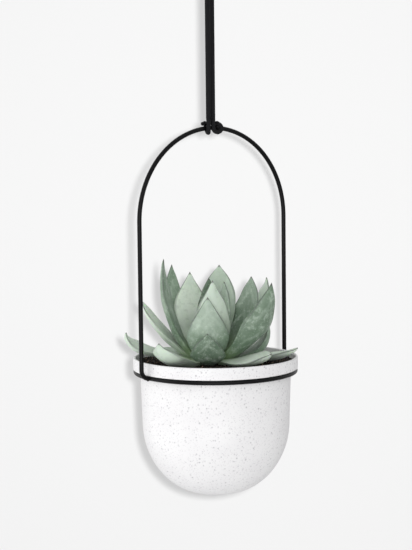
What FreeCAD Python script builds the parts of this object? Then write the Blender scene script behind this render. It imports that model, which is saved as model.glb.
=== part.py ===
import FreeCAD, Part
import math
import os
import re
import Sketcher
from FreeCAD import Placement, Rotation, Vector

# Hanging planter: a round pot with a collar that rests in a wire ring, an arch of wire that carries
# the ring, a doubled cord knotted over the top of the arch, the ceiling hook that the cord loops
# over, and the rosette plant that grows in the pot.
# Millimetres, +Z up. The origin is where the hook's screw enters the ceiling, the arch stands in the
# XZ plane and the round knot faces -Y.

# Driving sizes: name, value, meaning
SIZES = (
    ("hook_wire", 4.0, "width of the hook's round steel"),
    ("hook_bend", 9.0, "centreline radius of the hook's round bend"),
    ("hook_neck", 4.0, "centreline radius of the offset above the bend"),
    ("hook_stem", 8.0, "straight stem between ceiling and offset"),
    ("hook_tip", 3.2, "height of the hook's open end over the bend's centre"),
    ("flange_width", 13.0, "width of the stop washer under the ceiling"),
    ("flange_height", 1.4, "height of the stop washer"),
    ("shank_length", 8.0, "plain shank above the ceiling line"),
    ("thread_pitch", 2.2, "rise of one thread turn, fitted to a whole number of turns"),
    ("thread_depth", 0.55, "depth of the cut thread"),
    ("thread_length", 17.6, "length of the cut thread"),
    ("screw_point", 4.0, "length of the screw's point"),
    ("cord_width", 4.0, "width of the cord"),
    ("cord_drop", 128.0, "from the hook's saddle to the top of the arch, on the centrelines"),
    ("strand_gap", 5.1, "from one strand's centre to the other's at the arch"),
    ("loop_clear", 0.3, "clearance between the cord and what it goes round"),
    ("knot_shift", 2.6, "how far the pot's axis stands beside the hook's"),
    ("strand_foot", 8.0, "where the free strands end, over the arch's centreline"),
    ("tail_length", 6.5, "length of the cord's free end at the hitch"),
    ("tail_width", 3.4, "width of the cord's sealed free end"),
    ("knot_coil", 3.5, "centreline radius of the coil in the front knot"),
    ("knot_side", 2.4, "from the pot's axis to the front knot's centre"),
    ("rear_turn", 5.6, "from the pot's axis to the front knot's rear turn"),
    ("frame_wire", 4.0, "width of the frame's round wire"),
    ("arch_height", 220.0, "from the ring's centreline to the top of the arch's"),
    ("foot_bend", 8.0, "centreline radius of the elbow at each foot"),
    ("ring_clear", 2.0, "clearance between the pot's side and the ring"),
    ("toe_length", 0.9, "straight wire between the ring's centreline and each elbow"),
    ("weld_width", 0.9, "width of the weld bead"),
    ("seat_gap", 0.2, "clearance between the collar and the ring"),
    ("body_width", 137.6, "width of the pot under its collar"),
    ("collar_step", 6.2, "how far the collar stands out from the pot's side"),
    ("rim_height", 10.9, "height of the pot's collar"),
    ("side_taper", 1.8, "how far each side of the pot draws in before it starts to curve"),
    ("waist_depth", 50.0, "depth of the place where it starts to curve under the ring's centreline"),
    ("pot_depth", 112.5, "depth of the pot's bottom under the ring's centreline"),
    ("base_flat", 7.85, "radius of the flat under the pot"),
    ("wall", 2.4, "thickness of the pot's wall"),
    ("lip_round", 0.8, "rounding of the collar's edges"),
    ("drain_width", 12.0, "width of the drain hole"),
    ("plug_clear", 0.05, "clearance between the plug's stem and the hole"),
    ("plug_head", 18.0, "width of the plug's head under the pot"),
    ("plug_head_height", 1.6, "height of the plug's head"),
    ("plug_lip", 13.6, "width of the plug's lip inside the pot"),
    ("plug_lip_height", 2.0, "height of the plug's lip"),
    ("soil_depth", 5.1, "from the rim down to the soil"),
    ("soil_gap", 0.3, "clearance between the soil and what it fills"),
    ("crown_width", 26.0, "width of the plant's stem at the soil"),
    ("crown_top", 12.0, "width of the plant's stem at its top"),
    ("crown_height", 20.0, "height of the plant's stem"),
    ("crown_left", 6.6, "how far the stem stands towards -X of the pot's axis"),
    ("crown_back", 1.2, "how far the stem stands towards +Y of the pot's axis"),
    ("rosette_lift", 5.9, "height of the rosette's centre over the soil"),
    ("leaf_rise", 90.0, "upward length that the leaves' shares count in"),
    ("leaf_width", 36.0, "width that the leaves' shares count in"),
    ("leaf_thickness", 6.0, "thickness that the leaves' shares count in"),
    ("leaf_gap", 0.25, "clearance between neighbouring leaves"),
    ("cut_overrun", 4.0, "how far a cutting piece passes what it cuts"),
)

# How far the cord's loop at the hook is turned from the arch's plane, in degrees
LOOP_TURN = 24.0
# The cord's route round the hook's saddle, across and up, in shares of the loop's radius
LOOP_SHARES = ((-1.0, 0.414), (-0.414, 1.0), (0.414, 1.0), (1.0, 0.414))
# How far each arc of the cord reaches along the shorter of its two runs
ARC_SHARE = 0.45
# How far the cord's free end hangs under the level, in degrees, and how far it lies to the front, as
# a share of its width
TAIL_DROOP = 3
TAIL_SIDE_SHARE = 0.25
# How far the front knot's first turn stands nearer to the hitch than its strand, as a share of the
# frame's wire
TURN_SHIFT_SHARE = 0.25
# How far a weld bead stands off the ring, and how far under the wire's top it is dressed flat to clear
# the collar, as shares of its width
WELD_OFFSET_SHARE = 0.25
WELD_FLAT_SHARE = 0.25

# Where the curve of the pot's side turns into the tighter curve of its bottom, in degrees from level
BOTTOM_TURN = 39.5

# The length that the leaves' outward shares count in, as a share of the collar's inner radius
LEAF_REACH_SHARE = 1.102
# The rosette's leaves from the innermost to the outermost: name, bearing in degrees from +X, then
# shares of that length and of leaf_rise for the root, the bend point and the tip (out, up, out, up,
# out, up), the share of leaf_width, the share of leaf_thickness, the turn about the leaf's own midrib
# in degrees, and the share of the length at which the leaf is widest
LEAF_SHARES = (
    ("leaf_heart_front", -105, (0.06, 0.05, 0.17, 0.29, 0.13, 0.780), 1.00, 0.9, 0, 0.45),
    ("leaf_heart_right", -6, (0.06, 0.03, 0.27, 0.40, 0.21, 0.745), 0.67, 0.8, 0, 0.55),
    ("leaf_heart_back", 50, (0.06, 0.02, 0.23, 0.33, 0.15, 0.785), 0.61, 0.8, 0, 0.55),
    ("leaf_front_kite", -129, (0.14, 0.00, 0.33, 0.13, 0.19, 0.615), 1.03, 1.0, 0, 0.50),
    ("leaf_back_tall", 38, (0.12, 0.02, 0.53, 0.47, 0.50, 0.890), 0.96, 1.0, 0, 0.55),
    ("leaf_left_broad", 80, (0.14, 0.01, 0.57, 0.34, 0.46, 0.825), 0.94, 1.0, 0, 0.55),
    ("leaf_right_mid", -11, (0.14, 0.01, 0.60, 0.41, 0.55, 0.785), 0.89, 1.0, 11, 0.55),
    ("leaf_left_thin", 94, (0.15, -0.01, 0.73, 0.36, 0.64, 0.900), 0.66, 0.9, 0, 0.55),
    ("leaf_left_tall", 140, (0.15, -0.01, 0.53, 0.37, 0.50, 0.990), 0.77, 1.0, -7, 0.55),
    ("leaf_right_tall", -59, (0.15, -0.01, 0.66, 0.17, 0.765, 0.765), 1.01, 1.0, -23, 0.55),
    ("leaf_right_back", -13, (0.15, -0.02, 0.76, 0.41, 0.735, 0.770), 0.78, 0.9, 0, 0.55),
    ("leaf_front_cup", -129, (0.15, -0.04, 0.43, 0.00, 0.375, 0.270), 0.86, 1.0, 0, 0.45),
    ("leaf_right_low_back", -31, (0.15, -0.03, 0.73, -0.02, 0.65, 0.365), 0.83, 1.0, 0, 0.55),
    ("leaf_left_arm", 131, (0.15, -0.03, 0.60, 0.23, 0.785, 0.560), 0.73, 0.9, 1, 0.55),
    ("leaf_back_arm", 62, (0.15, -0.03, 0.62, 0.06, 0.77, 0.330), 0.83, 0.9, 0, 0.55),
    ("leaf_left_low", 145, (0.15, -0.04, 0.94, 0.06, 0.935, 0.250), 0.73, 0.9, -6, 0.55),
    ("leaf_front_left_low", -166, (0.15, -0.04, 0.82, -0.02, 0.865, 0.215), 0.86, 1.0, 2, 0.55),
    ("leaf_front_right_low", -77, (0.15, -0.04, 0.71, -0.01, 0.90, 0.085), 0.86, 1.0, 14, 0.55),
    ("leaf_right_low", -43, (0.15, -0.04, 0.79, -0.02, 1.015, 0.085), 0.72, 0.9, -3, 0.55),
    ("leaf_right_shade", 4, (0.15, -0.03, 0.45, 0.01, 0.775, 0.010), 0.67, 0.8, 0, 0.55),
    ("leaf_back_right_low", 27, (0.15, -0.03, 0.69, 0.00, 0.85, 0.110), 0.78, 0.9, 0, 0.55),
    ("leaf_back_left_low", 98, (0.15, -0.03, 0.62, 0.01, 0.72, 0.020), 0.72, 0.9, 0, 0.55),
)

# Where the cross-sections of a leaf lie along it, as shares of its length
STATION_SHARES = (0.0, 0.25, 0.5, 0.75, 0.94)
# Width and thickness of a leaf at its root as shares of its widest and thickest, and the power of
# the taper to its tip
ROOT_WIDTH_SHARE = 0.45
ROOT_THICK_SHARE = 0.875
TIP_TAPER = 1.75
# Rows of points along a leaf that its neighbours are found by, and how near such points of two
# leaves that may touch lie, as a share of leaf_thickness
MARK_ROWS = 12
NEAR_SHARE = 1.5
# How a leaf's thickness is shared above and below its midrib, and how far its edges turn up
UPPER_SHARE = 0.20
LOWER_SHARE = 0.80
EDGE_LIFT_SHARE = 0.10

doc = FreeCAD.newDocument("HangingPlanter")
sheet = doc.addObject("Spreadsheet::Sheet", "Sizes")
for row, (alias, value, meaning) in enumerate(SIZES, start=1):
    sheet.set(f"A{row}", meaning)
    sheet.set(f"B{row}", str(value))
    sheet.setAlias(f"B{row}", alias)
doc.recompute()
size = {alias: float(sheet.get(alias)) for alias, _, _ in SIZES}

# Levels that several pieces share, below the ceiling
BEND_CENTRE = "(hook_stem + sqrt((hook_neck + hook_bend)^2 - hook_neck^2))"
SADDLE = f"({BEND_CENTRE} + hook_bend)"
ARCH_TOP = f"(-{SADDLE} - cord_drop)"
RING_LEVEL = f"({SADDLE} + cord_drop + arch_height)"
bend_centre = size["hook_stem"] + math.sqrt(
    (size["hook_neck"] + size["hook_bend"]) ** 2 - size["hook_neck"] ** 2)
saddle = bend_centre + size["hook_bend"]
ring_level = saddle + size["cord_drop"] + size["arch_height"]

# Radii that the pot and its frame share, from the ring's centre
BODY_RADIUS = "(body_width / 2)"
RING_RADIUS = f"({BODY_RADIUS} + ring_clear + frame_wire / 2)"
ARCH_RADIUS = f"({RING_RADIUS} + toe_length + foot_bend)"
RIM_RADIUS = f"({BODY_RADIUS} + collar_step)"
WAIST_RADIUS = f"({BODY_RADIUS} - side_taper)"
body_radius = size["body_width"] / 2
rim_radius = body_radius + size["collar_step"]
waist_radius = body_radius - size["side_taper"]
leaf_reach = LEAF_REACH_SHARE * (rim_radius - size["wall"])

# Levels of the pot, above the ring's centreline
RIM_BOTTOM = "(frame_wire / 2 + seat_gap)"
RIM_TOP = f"({RIM_BOTTOM} + rim_height)"
SOIL_TOP = f"({RIM_TOP} - soil_depth)"
rim_bottom = size["frame_wire"] / 2 + size["seat_gap"]
rim_top = rim_bottom + size["rim_height"]
soil_top = rim_top - size["soil_depth"]


def formula(text):
    """Writes the sheet's name before each size in an expression."""
    return re.sub(r"[a-z]+(?:_[a-z]+)*", lambda m: f"Sizes.{m[0]}" if m[0] in size else m[0], text)


def bind(item, prop, text):
    """Ties a property to sizes of the sheet."""
    item.setExpression(prop, formula(text))


def hang(item):
    """Places a piece that is built round the ring's centre."""
    bind(item, "Placement.Base.x", "knot_shift")
    bind(item, "Placement.Base.z", f"-{RING_LEVEL}")
    return item


def primitive(kind, name, place=None, turn=None, **sizes):
    """A Part primitive whose sizes and place are bound to the sheet."""
    item = doc.addObject(f"Part::{kind}", name)
    for prop, text in sizes.items():
        bind(item, prop, text)
    if turn:
        item.Placement.Rotation = turn
    for axis, text in zip("xyz", place or ()):
        bind(item, f"Placement.Base.{axis}", text)
    return item


def fuse(name, pieces):
    """One solid from several that overlap."""
    item = doc.addObject("Part::MultiFuse", name)
    item.Shapes = pieces
    item.Refine = True
    return item


def cut(name, base, tool):
    """A solid less what another takes up."""
    item = doc.addObject("Part::Cut", name)
    item.Base = base
    item.Tool = tool
    return item


def named(item, label):
    """Gives a finished sub-part its name."""
    item.Label = label
    return item


def origin_plane(body, role):
    """One of a body's own base planes."""
    return next(f for f in body.Origin.OriginFeatures if f.Role == role)


def sketch_on(body, name, role):
    """An empty sketch on one of a body's base planes."""
    sketch = body.newObject("Sketcher::SketchObject", name)
    sketch.AttachmentSupport = [(origin_plane(body, role), "")]
    sketch.MapMode = "FlatFace"
    return sketch


def fix_point(sketch, geo, end, x_text, y_text):
    """Holds a sketch point at a place given by two expressions."""
    for kind, text in (("DistanceX", x_text), ("DistanceY", y_text)):
        index = sketch.addConstraint(Sketcher.Constraint(kind, -1, 1, geo, end, 1.0))
        bind(sketch, f"Constraints[{index}]", text)


def close_chain(sketch, count):
    """Joins each line's end to the next line's start."""
    for geo in range(count):
        after = (geo + 1) % count
        sketch.addConstraint(Sketcher.Constraint("Coincident", geo, 2, after, 1))


def outline_sketch(body, name, corners):
    """A closed outline of straight lines, each corner held by two expressions."""
    sketch = sketch_on(body, name, "XZ_Plane")
    count = len(corners)
    ring = [Vector(math.cos(2 * math.pi * k / count), math.sin(2 * math.pi * k / count), 0)
            for k in range(count)]
    for k in range(count):
        sketch.addGeometry(Part.LineSegment(ring[k], ring[(k + 1) % count]), False)
    close_chain(sketch, count)
    for geo, (x_text, y_text) in enumerate(corners):
        fix_point(sketch, geo, 1, x_text, y_text)
    return sketch


def revolve(body, name, sketch, kind="Revolution"):
    """A full turn of a sketch about the body's upright axis."""
    item = body.newObject(f"PartDesign::{kind}", name)
    item.Profile = sketch
    item.ReferenceAxis = (sketch, ["V_Axis"])
    item.Angle = 360
    return item


def turned(label, corners):
    """A sub-part turned from one outline."""
    body = doc.addObject("PartDesign::Body", label)
    sketch = outline_sketch(body, label + "_outline", corners)
    revolve(body, label + "_turning", sketch)
    return named(body, label)


def bowl_curves():
    """The side's lean, and the radii of the two curves that round the side into the bottom."""
    lean = math.atan2(size["side_taper"], rim_bottom + size["waist_depth"])
    turn = math.radians(BOTTOM_TURN)
    across = waist_radius - size["base_flat"]
    down = size["pot_depth"] - size["waist_depth"]
    side_across, side_down = math.cos(lean) - math.cos(turn), math.sin(turn) - math.sin(lean)
    base_across, base_down = math.cos(turn), 1 - math.sin(turn)
    both = side_across * base_down - base_across * side_down
    side_radius = (across * base_down - down * base_across) / both
    base_radius = (down * side_across - across * side_down) / both
    return lean, turn, side_radius, base_radius


# The same curves' radii as expressions
LEAN = f"atan(side_taper / ({RIM_BOTTOM} + waist_depth))"
TURN = f"{BOTTOM_TURN} deg"
ACROSS = f"({WAIST_RADIUS} - base_flat)"
DOWN = "(pot_depth - waist_depth)"
BOTH = f"((cos({LEAN}) - cos({TURN})) * (1 - sin({TURN})) - cos({TURN}) * (sin({TURN}) - sin({LEAN})))"
SIDE_CURVE = f"(({ACROSS} * (1 - sin({TURN})) - {DOWN} * cos({TURN})) / {BOTH})"
BASE_CURVE = (
    f"(({DOWN} * (cos({LEAN}) - cos({TURN})) - {ACROSS} * (sin({TURN}) - sin({LEAN}))) / {BOTH})")


def moved_in(text, inset, sign="-"):
    """An expression less, or plus, the named thicknesses."""
    return f" {sign} ".join((text,) + inset)


def bowl_sketch(body, name, inset, steps):
    """Half section of the pot, inset from its outside; steps are the corners above its side."""
    sketch = sketch_on(body, name, "XZ_Plane")
    gap = sum(size[n] for n in inset)
    lean, meet, side_radius, base_radius = bowl_curves()
    side_radius -= gap
    base_radius -= gap
    low = -size["pot_depth"] + gap
    waist = Vector(waist_radius - gap, -size["waist_depth"], 0)
    side_centre = waist + Vector(-math.cos(lean), math.sin(lean), 0) * side_radius
    base_centre = Vector(size["base_flat"], low + base_radius, 0)
    axis = Vector(0, 0, 1)
    axis_low = Vector(0, low, 0)
    points = [Vector(x, z, 0) for x, z, _, _ in steps]
    base_arc = Part.ArcOfCircle(Part.Circle(base_centre, axis, base_radius), -math.pi / 2, -meet)
    side_arc = Part.ArcOfCircle(Part.Circle(side_centre, axis, side_radius), -meet, -lean)
    flat = Vector(size["base_flat"], low, 0)
    sketch.addGeometry([Part.LineSegment(axis_low, flat), base_arc, side_arc], False)
    corners = [waist] + points + [axis_low]
    for start, end in zip(corners, corners[1:]):
        sketch.addGeometry(Part.LineSegment(start, end), False)
    add = sketch.addConstraint
    for geo in range(3):
        add(Sketcher.Constraint("Tangent", geo, 2, geo + 1, 1))
    closing = 3 + len(points)
    for geo in range(3, closing):
        add(Sketcher.Constraint("Coincident", geo, 2, geo + 1, 1))
    add(Sketcher.Constraint("Coincident", closing, 2, 0, 1))
    add(Sketcher.Constraint("Horizontal", 0))
    add(Sketcher.Constraint("PointOnObject", 0, 1, -2))
    for geo, radius, text in ((1, base_radius, BASE_CURVE), (2, side_radius, SIDE_CURVE)):
        index = add(Sketcher.Constraint("Radius", geo, radius))
        bind(sketch, f"Constraints[{index}]", moved_in(text, inset))
    index = add(Sketcher.Constraint("DistanceY", -1, 1, 0, 1, low))
    bind(sketch, f"Constraints[{index}]", moved_in("-pot_depth", inset, "+"))
    held = [(3, waist.x, waist.y, moved_in(WAIST_RADIUS, inset), "-waist_depth")]
    held += [(geo, *step) for geo, step in enumerate(steps, start=4)]
    for geo, x, z, x_text, z_text in held:
        for kind, value, text in (("DistanceX", x, x_text), ("DistanceY", z, z_text)):
            index = add(Sketcher.Constraint(kind, -1, 1, geo, 1, value))
            bind(sketch, f"Constraints[{index}]", text)
    return sketch


def round_edges(body, name, radius_text, rings):
    """Rounds the circular edges at the given radii and heights."""
    doc.recompute()
    near = size["plug_clear"]
    edges = []
    for number, edge in enumerate(body.Shape.Edges, start=1):
        curve = edge.Curve
        if not isinstance(curve, Part.Circle):
            continue
        for radius, height in rings:
            if abs(curve.Radius - radius) < near and abs(curve.Center.z - height) < near:
                edges.append(f"Edge{number}")
    base = body.Tip
    item = body.newObject("PartDesign::Fillet", name)
    item.Base = (base, edges)
    bind(item, "Radius", radius_text)
    return item


def make_hook():
    """Ceiling hook: one bent steel rod with a cut wood thread and a stop washer."""
    body = doc.addObject("PartDesign::Body", "hook_body")
    path = sketch_on(body, "hook_path", "XZ_Plane")
    stem, neck, bend = size["hook_stem"], size["hook_neck"], size["hook_bend"]
    axis = Vector(0, 0, 1)
    swing = math.asin((bend_centre - stem) / (neck + bend))
    tip = math.asin(size["hook_tip"] / bend)
    path.addGeometry(Part.LineSegment(Vector(0, 0, 0), Vector(0, -stem, 0)), False)
    offset = Part.Circle(Vector(-neck, -stem, 0), axis, neck)
    path.addGeometry(Part.ArcOfCircle(offset, -swing, 0), False)
    round_bend = Part.Circle(Vector(0, -bend_centre, 0), axis, bend)
    path.addGeometry(Part.ArcOfCircle(round_bend, math.pi - swing, 2 * math.pi + tip), False)
    add = path.addConstraint
    add(Sketcher.Constraint("Coincident", 0, 1, -1, 1))
    add(Sketcher.Constraint("Vertical", 0))
    add(Sketcher.Constraint("Tangent", 0, 2, 1, 2))
    add(Sketcher.Constraint("Tangent", 1, 1, 2, 1))
    add(Sketcher.Constraint("PointOnObject", 2, 3, -2))
    for kind, geos, value, text in (
            ("DistanceY", (0, 1, 0, 2), -stem, "-hook_stem"),
            ("Radius", (1,), neck, "hook_neck"),
            ("Radius", (2,), bend, "hook_bend"),
            ("DistanceY", (2, 3, 2, 2), size["hook_tip"], "hook_tip")):
        index = add(Sketcher.Constraint(kind, *geos, value))
        bind(path, f"Constraints[{index}]", text)
    section = sketch_on(body, "hook_section", "XY_Plane")
    section.addGeometry(Part.Circle(Vector(0, 0, 0), axis, size["hook_wire"] / 2), False)
    section.addConstraint(Sketcher.Constraint("Coincident", 0, 3, -1, 1))
    index = section.addConstraint(Sketcher.Constraint("Radius", 0, size["hook_wire"] / 2))
    bind(section, f"Constraints[{index}]", "hook_wire / 2")
    doc.recompute()
    pipe = body.newObject("PartDesign::AdditivePipe", "hook_pipe")
    pipe.Profile = section
    pipe.Spine = path
    doc.recompute()

    corners = [("0", "-flange_height"), ("flange_width / 2", "-flange_height"),
               ("flange_width / 2", "0"), ("hook_wire / 2", "0"), ("hook_wire / 2", "shank_length")]
    turns = max(1, round(size["thread_length"] / size["thread_pitch"]))
    for turn in range(turns):
        root = f"shank_length + ({turn} + 1 / 2) * thread_length / {turns}"
        crest = f"shank_length + ({turn} + 1) * thread_length / {turns}"
        corners.append(("hook_wire / 2 - thread_depth", root))
        corners.append(("hook_wire / 2", crest))
    corners.append(("0", "shank_length + thread_length + screw_point"))
    screw = outline_sketch(body, "screw_outline", corners)
    revolve(body, "screw_turning", screw)
    body.Placement = Placement(Vector(0, 0, 0), Rotation(Vector(0, 0, 1), 90 + LOOP_TURN))
    return named(body, "ceiling_hook")


def make_frame():
    """Frame: the ring, the arch with its elbows, and the two weld beads."""
    ring = primitive("Torus", "ring_torus", Radius1=RING_RADIUS, Radius2="frame_wire / 2")
    upright = Rotation(Vector(1, 0, 0), 90)
    spring_level = f"(arch_height - {ARCH_RADIUS})"
    pieces = [primitive("Torus", "arch_bow", ("0", "0", spring_level), upright,
                        Radius1=ARCH_RADIUS, Radius2="frame_wire / 2", Angle3="180")]
    for side, name, start in ((-1, "left", 180), (1, "right", 270)):
        pieces.append(primitive(
            "Cylinder", f"{name}_leg", (f"{side} * {ARCH_RADIUS}", "0", "foot_bend"),
            Radius="frame_wire / 2", Height=f"{spring_level} - foot_bend"))
        pieces.append(primitive(
            "Torus", f"{name}_elbow", (f"{side} * ({ARCH_RADIUS} - foot_bend)", "0", "foot_bend"),
            upright * Rotation(Vector(0, 0, 1), start),
            Radius1="foot_bend", Radius2="frame_wire / 2", Angle3="90"))
        pieces.append(primitive(
            "Cylinder", f"{name}_toe", (f"{side} * {RING_RADIUS}", "0", "0"),
            Rotation(Vector(0, 1, 0), 90 * side), Radius="frame_wire / 2", Height="toe_length"))
    bow = fuse("arch_wire", pieces)
    arch = named(hang(cut("arch_fitted", bow, ring)), "wire_arch")
    seat_room = primitive(
        "Box", "seat_room",
        (f"-{ARCH_RADIUS}", f"-{ARCH_RADIUS}", f"frame_wire / 2 - {WELD_FLAT_SHARE} * weld_width"),
        Length=f"2 * {ARCH_RADIUS}", Width=f"2 * {ARCH_RADIUS}", Height="foot_bend")
    both = fuse("welded_pair", [bow, ring])
    bead_out = f"({RING_RADIUS} + frame_wire / 2 + {WELD_OFFSET_SHARE} * weld_width)"
    welds = []
    for side, name in ((-1, "left"), (1, "right")):
        bead = primitive(
            "Torus", f"{name}_bead", (f"{side} * {bead_out}", "0", "0"),
            Rotation(Vector(0, 1, 0), 90), Radius1="frame_wire / 2", Radius2="weld_width / 2")
        fitted = cut(f"{name}_bead_fitted", bead, both)
        welds.append(named(hang(cut(f"{name}_bead_level", fitted, seat_room)), f"weld_{name}"))
    plain = primitive("Torus", "ring_piece", Radius1=RING_RADIUS, Radius2="frame_wire / 2")
    return [named(hang(plain), "wire_ring"), arch] + welds


def make_pot():
    """Pot: a turned shell with a collar, a drain hole and rounded collar edges."""
    body = doc.addObject("PartDesign::Body", "pot_body")
    outer = bowl_sketch(body, "pot_outside", (), (
        (body_radius, rim_bottom, BODY_RADIUS, RIM_BOTTOM),
        (rim_radius, rim_bottom, RIM_RADIUS, RIM_BOTTOM),
        (rim_radius, rim_top, RIM_RADIUS, RIM_TOP),
        (0, rim_top, "0", RIM_TOP)))
    revolve(body, "pot_turning", outer)
    wall, over = size["wall"], size["cut_overrun"]
    inner = bowl_sketch(body, "pot_inside", ("wall",), (
        (body_radius - wall, rim_bottom + wall, f"{BODY_RADIUS} - wall", f"{RIM_BOTTOM} + wall"),
        (rim_radius - wall, rim_bottom + wall, f"{RIM_RADIUS} - wall", f"{RIM_BOTTOM} + wall"),
        (rim_radius - wall, rim_top + over, f"{RIM_RADIUS} - wall", f"{RIM_TOP} + cut_overrun"),
        (0, rim_top + over, "0", f"{RIM_TOP} + cut_overrun")))
    revolve(body, "pot_hollow", inner, "Groove")
    hole = sketch_on(body, "drain_outline", "XY_Plane")
    hole.addGeometry(
        Part.Circle(Vector(0, 0, 0), Vector(0, 0, 1), size["drain_width"] / 2), False)
    hole.addConstraint(Sketcher.Constraint("Coincident", 0, 3, -1, 1))
    index = hole.addConstraint(Sketcher.Constraint("Radius", 0, size["drain_width"] / 2))
    bind(hole, f"Constraints[{index}]", "drain_width / 2")
    doc.recompute()
    drain = body.newObject("PartDesign::Pocket", "drain_hole")
    drain.Profile = hole
    drain.Type = "ThroughAll"
    drain.SideType = "Symmetric"
    round_edges(body, "collar_rounding", "lip_round", (
        (rim_radius, rim_bottom), (rim_radius, rim_top), (rim_radius - wall, rim_top)))
    return named(hang(body), "pot")


def make_plug():
    """Drain plug: a rubber stopper with a head under the pot and a lip inside it."""
    stem = "drain_width / 2 - plug_clear"
    plug = turned("drain_plug", (
        ("0", "-pot_depth - plug_head_height"),
        ("plug_head / 2", "-pot_depth - plug_head_height"),
        ("plug_head / 2", "-pot_depth"),
        (stem, "-pot_depth"),
        (stem, "-pot_depth + wall"),
        ("plug_lip / 2", "-pot_depth + wall"),
        (stem, "-pot_depth + wall + plug_lip_height"),
        ("0", "-pot_depth + wall + plug_lip_height")))
    return hang(plug)


def make_soil():
    """Soil: fills the pot up to just under its rim, round the plug's lip."""
    body = doc.addObject("PartDesign::Body", "soil_body")
    inset = ("wall", "soil_gap")
    gap = size["wall"] + size["soil_gap"]
    step, step_text = rim_bottom + gap, moved_in(RIM_BOTTOM, inset, "+")
    sketch = bowl_sketch(body, "soil_outline", inset, (
        (body_radius - gap, step, moved_in(BODY_RADIUS, inset), step_text),
        (rim_radius - gap, step, moved_in(RIM_RADIUS, inset), step_text),
        (rim_radius - gap, soil_top, moved_in(RIM_RADIUS, inset), SOIL_TOP),
        (0, soil_top, "0", SOIL_TOP)))
    revolve(body, "soil_turning", sketch)
    hollow = outline_sketch(body, "plug_room", (
        ("0", "-pot_depth"),
        ("plug_lip / 2 + soil_gap", "-pot_depth"),
        ("plug_lip / 2 + soil_gap", "-pot_depth + wall + plug_lip_height + soil_gap"),
        ("0", "-pot_depth + wall + plug_lip_height + soil_gap")))
    revolve(body, "plug_hollow", hollow, "Groove")
    return named(hang(body), "soil")


def make_stem():
    """The plant's short stem, which the rosette's leaves stand round."""
    cone = primitive(
        "Cone", "stem_cone",
        ("knot_shift - crown_left", "crown_back", f"-{RING_LEVEL} + {SOIL_TOP}"),
        Radius1="crown_width / 2", Radius2="crown_top / 2", Height="crown_height")
    return named(cone, "plant_stem")


def leaf_midrib(bearing, curve_shares):
    """A leaf's root, bend point and tip, and the direction across it."""
    out = Vector(math.cos(math.radians(bearing)), math.sin(math.radians(bearing)), 0)
    centre = Vector(-size["crown_left"], size["crown_back"], soil_top + size["rosette_lift"])
    rise = size["leaf_rise"]
    root, belly, tip = (
        centre + out * (curve_shares[k] * leaf_reach) + Vector(0, 0, curve_shares[k + 1] * rise)
        for k in (0, 2, 4))
    return root, belly, tip, Vector(-out.y, out.x, 0)


def leaf_section(leaf, share, spare):
    """A leaf's two edges, crest and keel at a share of its length, thicker by a spare."""
    bearing, curve_shares, width_share, thick_share, turn, widest = leaf
    root, belly, tip, side = leaf_midrib(bearing, curve_shares)
    half = width_share * size["leaf_width"] / 2
    thick = thick_share * size["leaf_thickness"]
    middle = root * (1 - share) ** 2 + belly * (2 * share * (1 - share)) + tip * share ** 2
    along = (belly - root) * (1 - share) + (tip - belly) * share
    along.normalize()
    flat = along.cross(side)
    twist = math.radians(turn) * min(1, 2 * share)
    across = side * math.cos(twist) + flat * math.sin(twist)
    upper = flat * math.cos(twist) - side * math.sin(twist)
    if share < widest:
        swell = math.sin(math.pi / 2 * share / widest)
        wide = ROOT_WIDTH_SHARE + (1 - ROOT_WIDTH_SHARE) * swell
        deep = 1 - (1 - ROOT_THICK_SHARE) * (1 - share / widest) ** 2
    else:
        wide = 1 - ((share - widest) / (1 - widest)) ** TIP_TAPER
        deep = wide
    middle_edge = middle + upper * (EDGE_LIFT_SHARE * half * wide)
    edge_a = middle_edge + across * (half * wide + spare)
    edge_b = middle_edge - across * (half * wide + spare)
    crest = middle + upper * (UPPER_SHARE * thick * deep + spare)
    keel = middle - upper * (LOWER_SHARE * thick * deep + spare)
    return edge_a, crest, edge_b, keel


def leaf_solid(leaf, spare):
    """One leaf, lens sections along a bent midrib to a point, thicker by a spare."""
    wires = []
    for share in STATION_SHARES:
        edge_a, crest, edge_b, keel = leaf_section(leaf, share, spare)
        wires.append(Part.Wire([
            Part.Arc(edge_a, crest, edge_b).toShape(), Part.Arc(edge_b, keel, edge_a).toShape()]))
    _, belly, tip, _ = leaf_midrib(*leaf[:2])
    end = tip + (tip - belly).normalize() * spare
    return Part.makeLoft(wires + [Part.Vertex(end)], True, False)


def leaf_marks(leaf):
    """Points spread over a leaf, for finding its neighbours."""
    marks = []
    for k in range(MARK_ROWS + 1):
        edge_a, crest, edge_b, keel = leaf_section(leaf, k / MARK_ROWS, 0)
        marks += [edge_a, (edge_a + crest) / 2, crest, keel, (edge_b + crest) / 2, edge_b]
    return marks


def box_of(marks):
    """The box round a leaf's points, larger by the leaf's thickness."""
    box = FreeCAD.BoundBox()
    for mark in marks:
        box.add(mark)
    box.enlarge(size["leaf_thickness"])
    return box


def near_marks(marks, others):
    """Whether two leaves come close enough to touch."""
    close = NEAR_SHARE * size["leaf_thickness"]
    return box_of(marks).intersect(box_of(others)) and any(
        (mark - other).Length < close for mark in marks for other in others)


def cut_clear(shape, tools):
    """The largest solid that is left of a shape when the tools are cut from it one by one."""
    for tool in tools:
        shape = max(shape.cut(tool).Solids, key=lambda solid: solid.Volume)
    return shape


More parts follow.
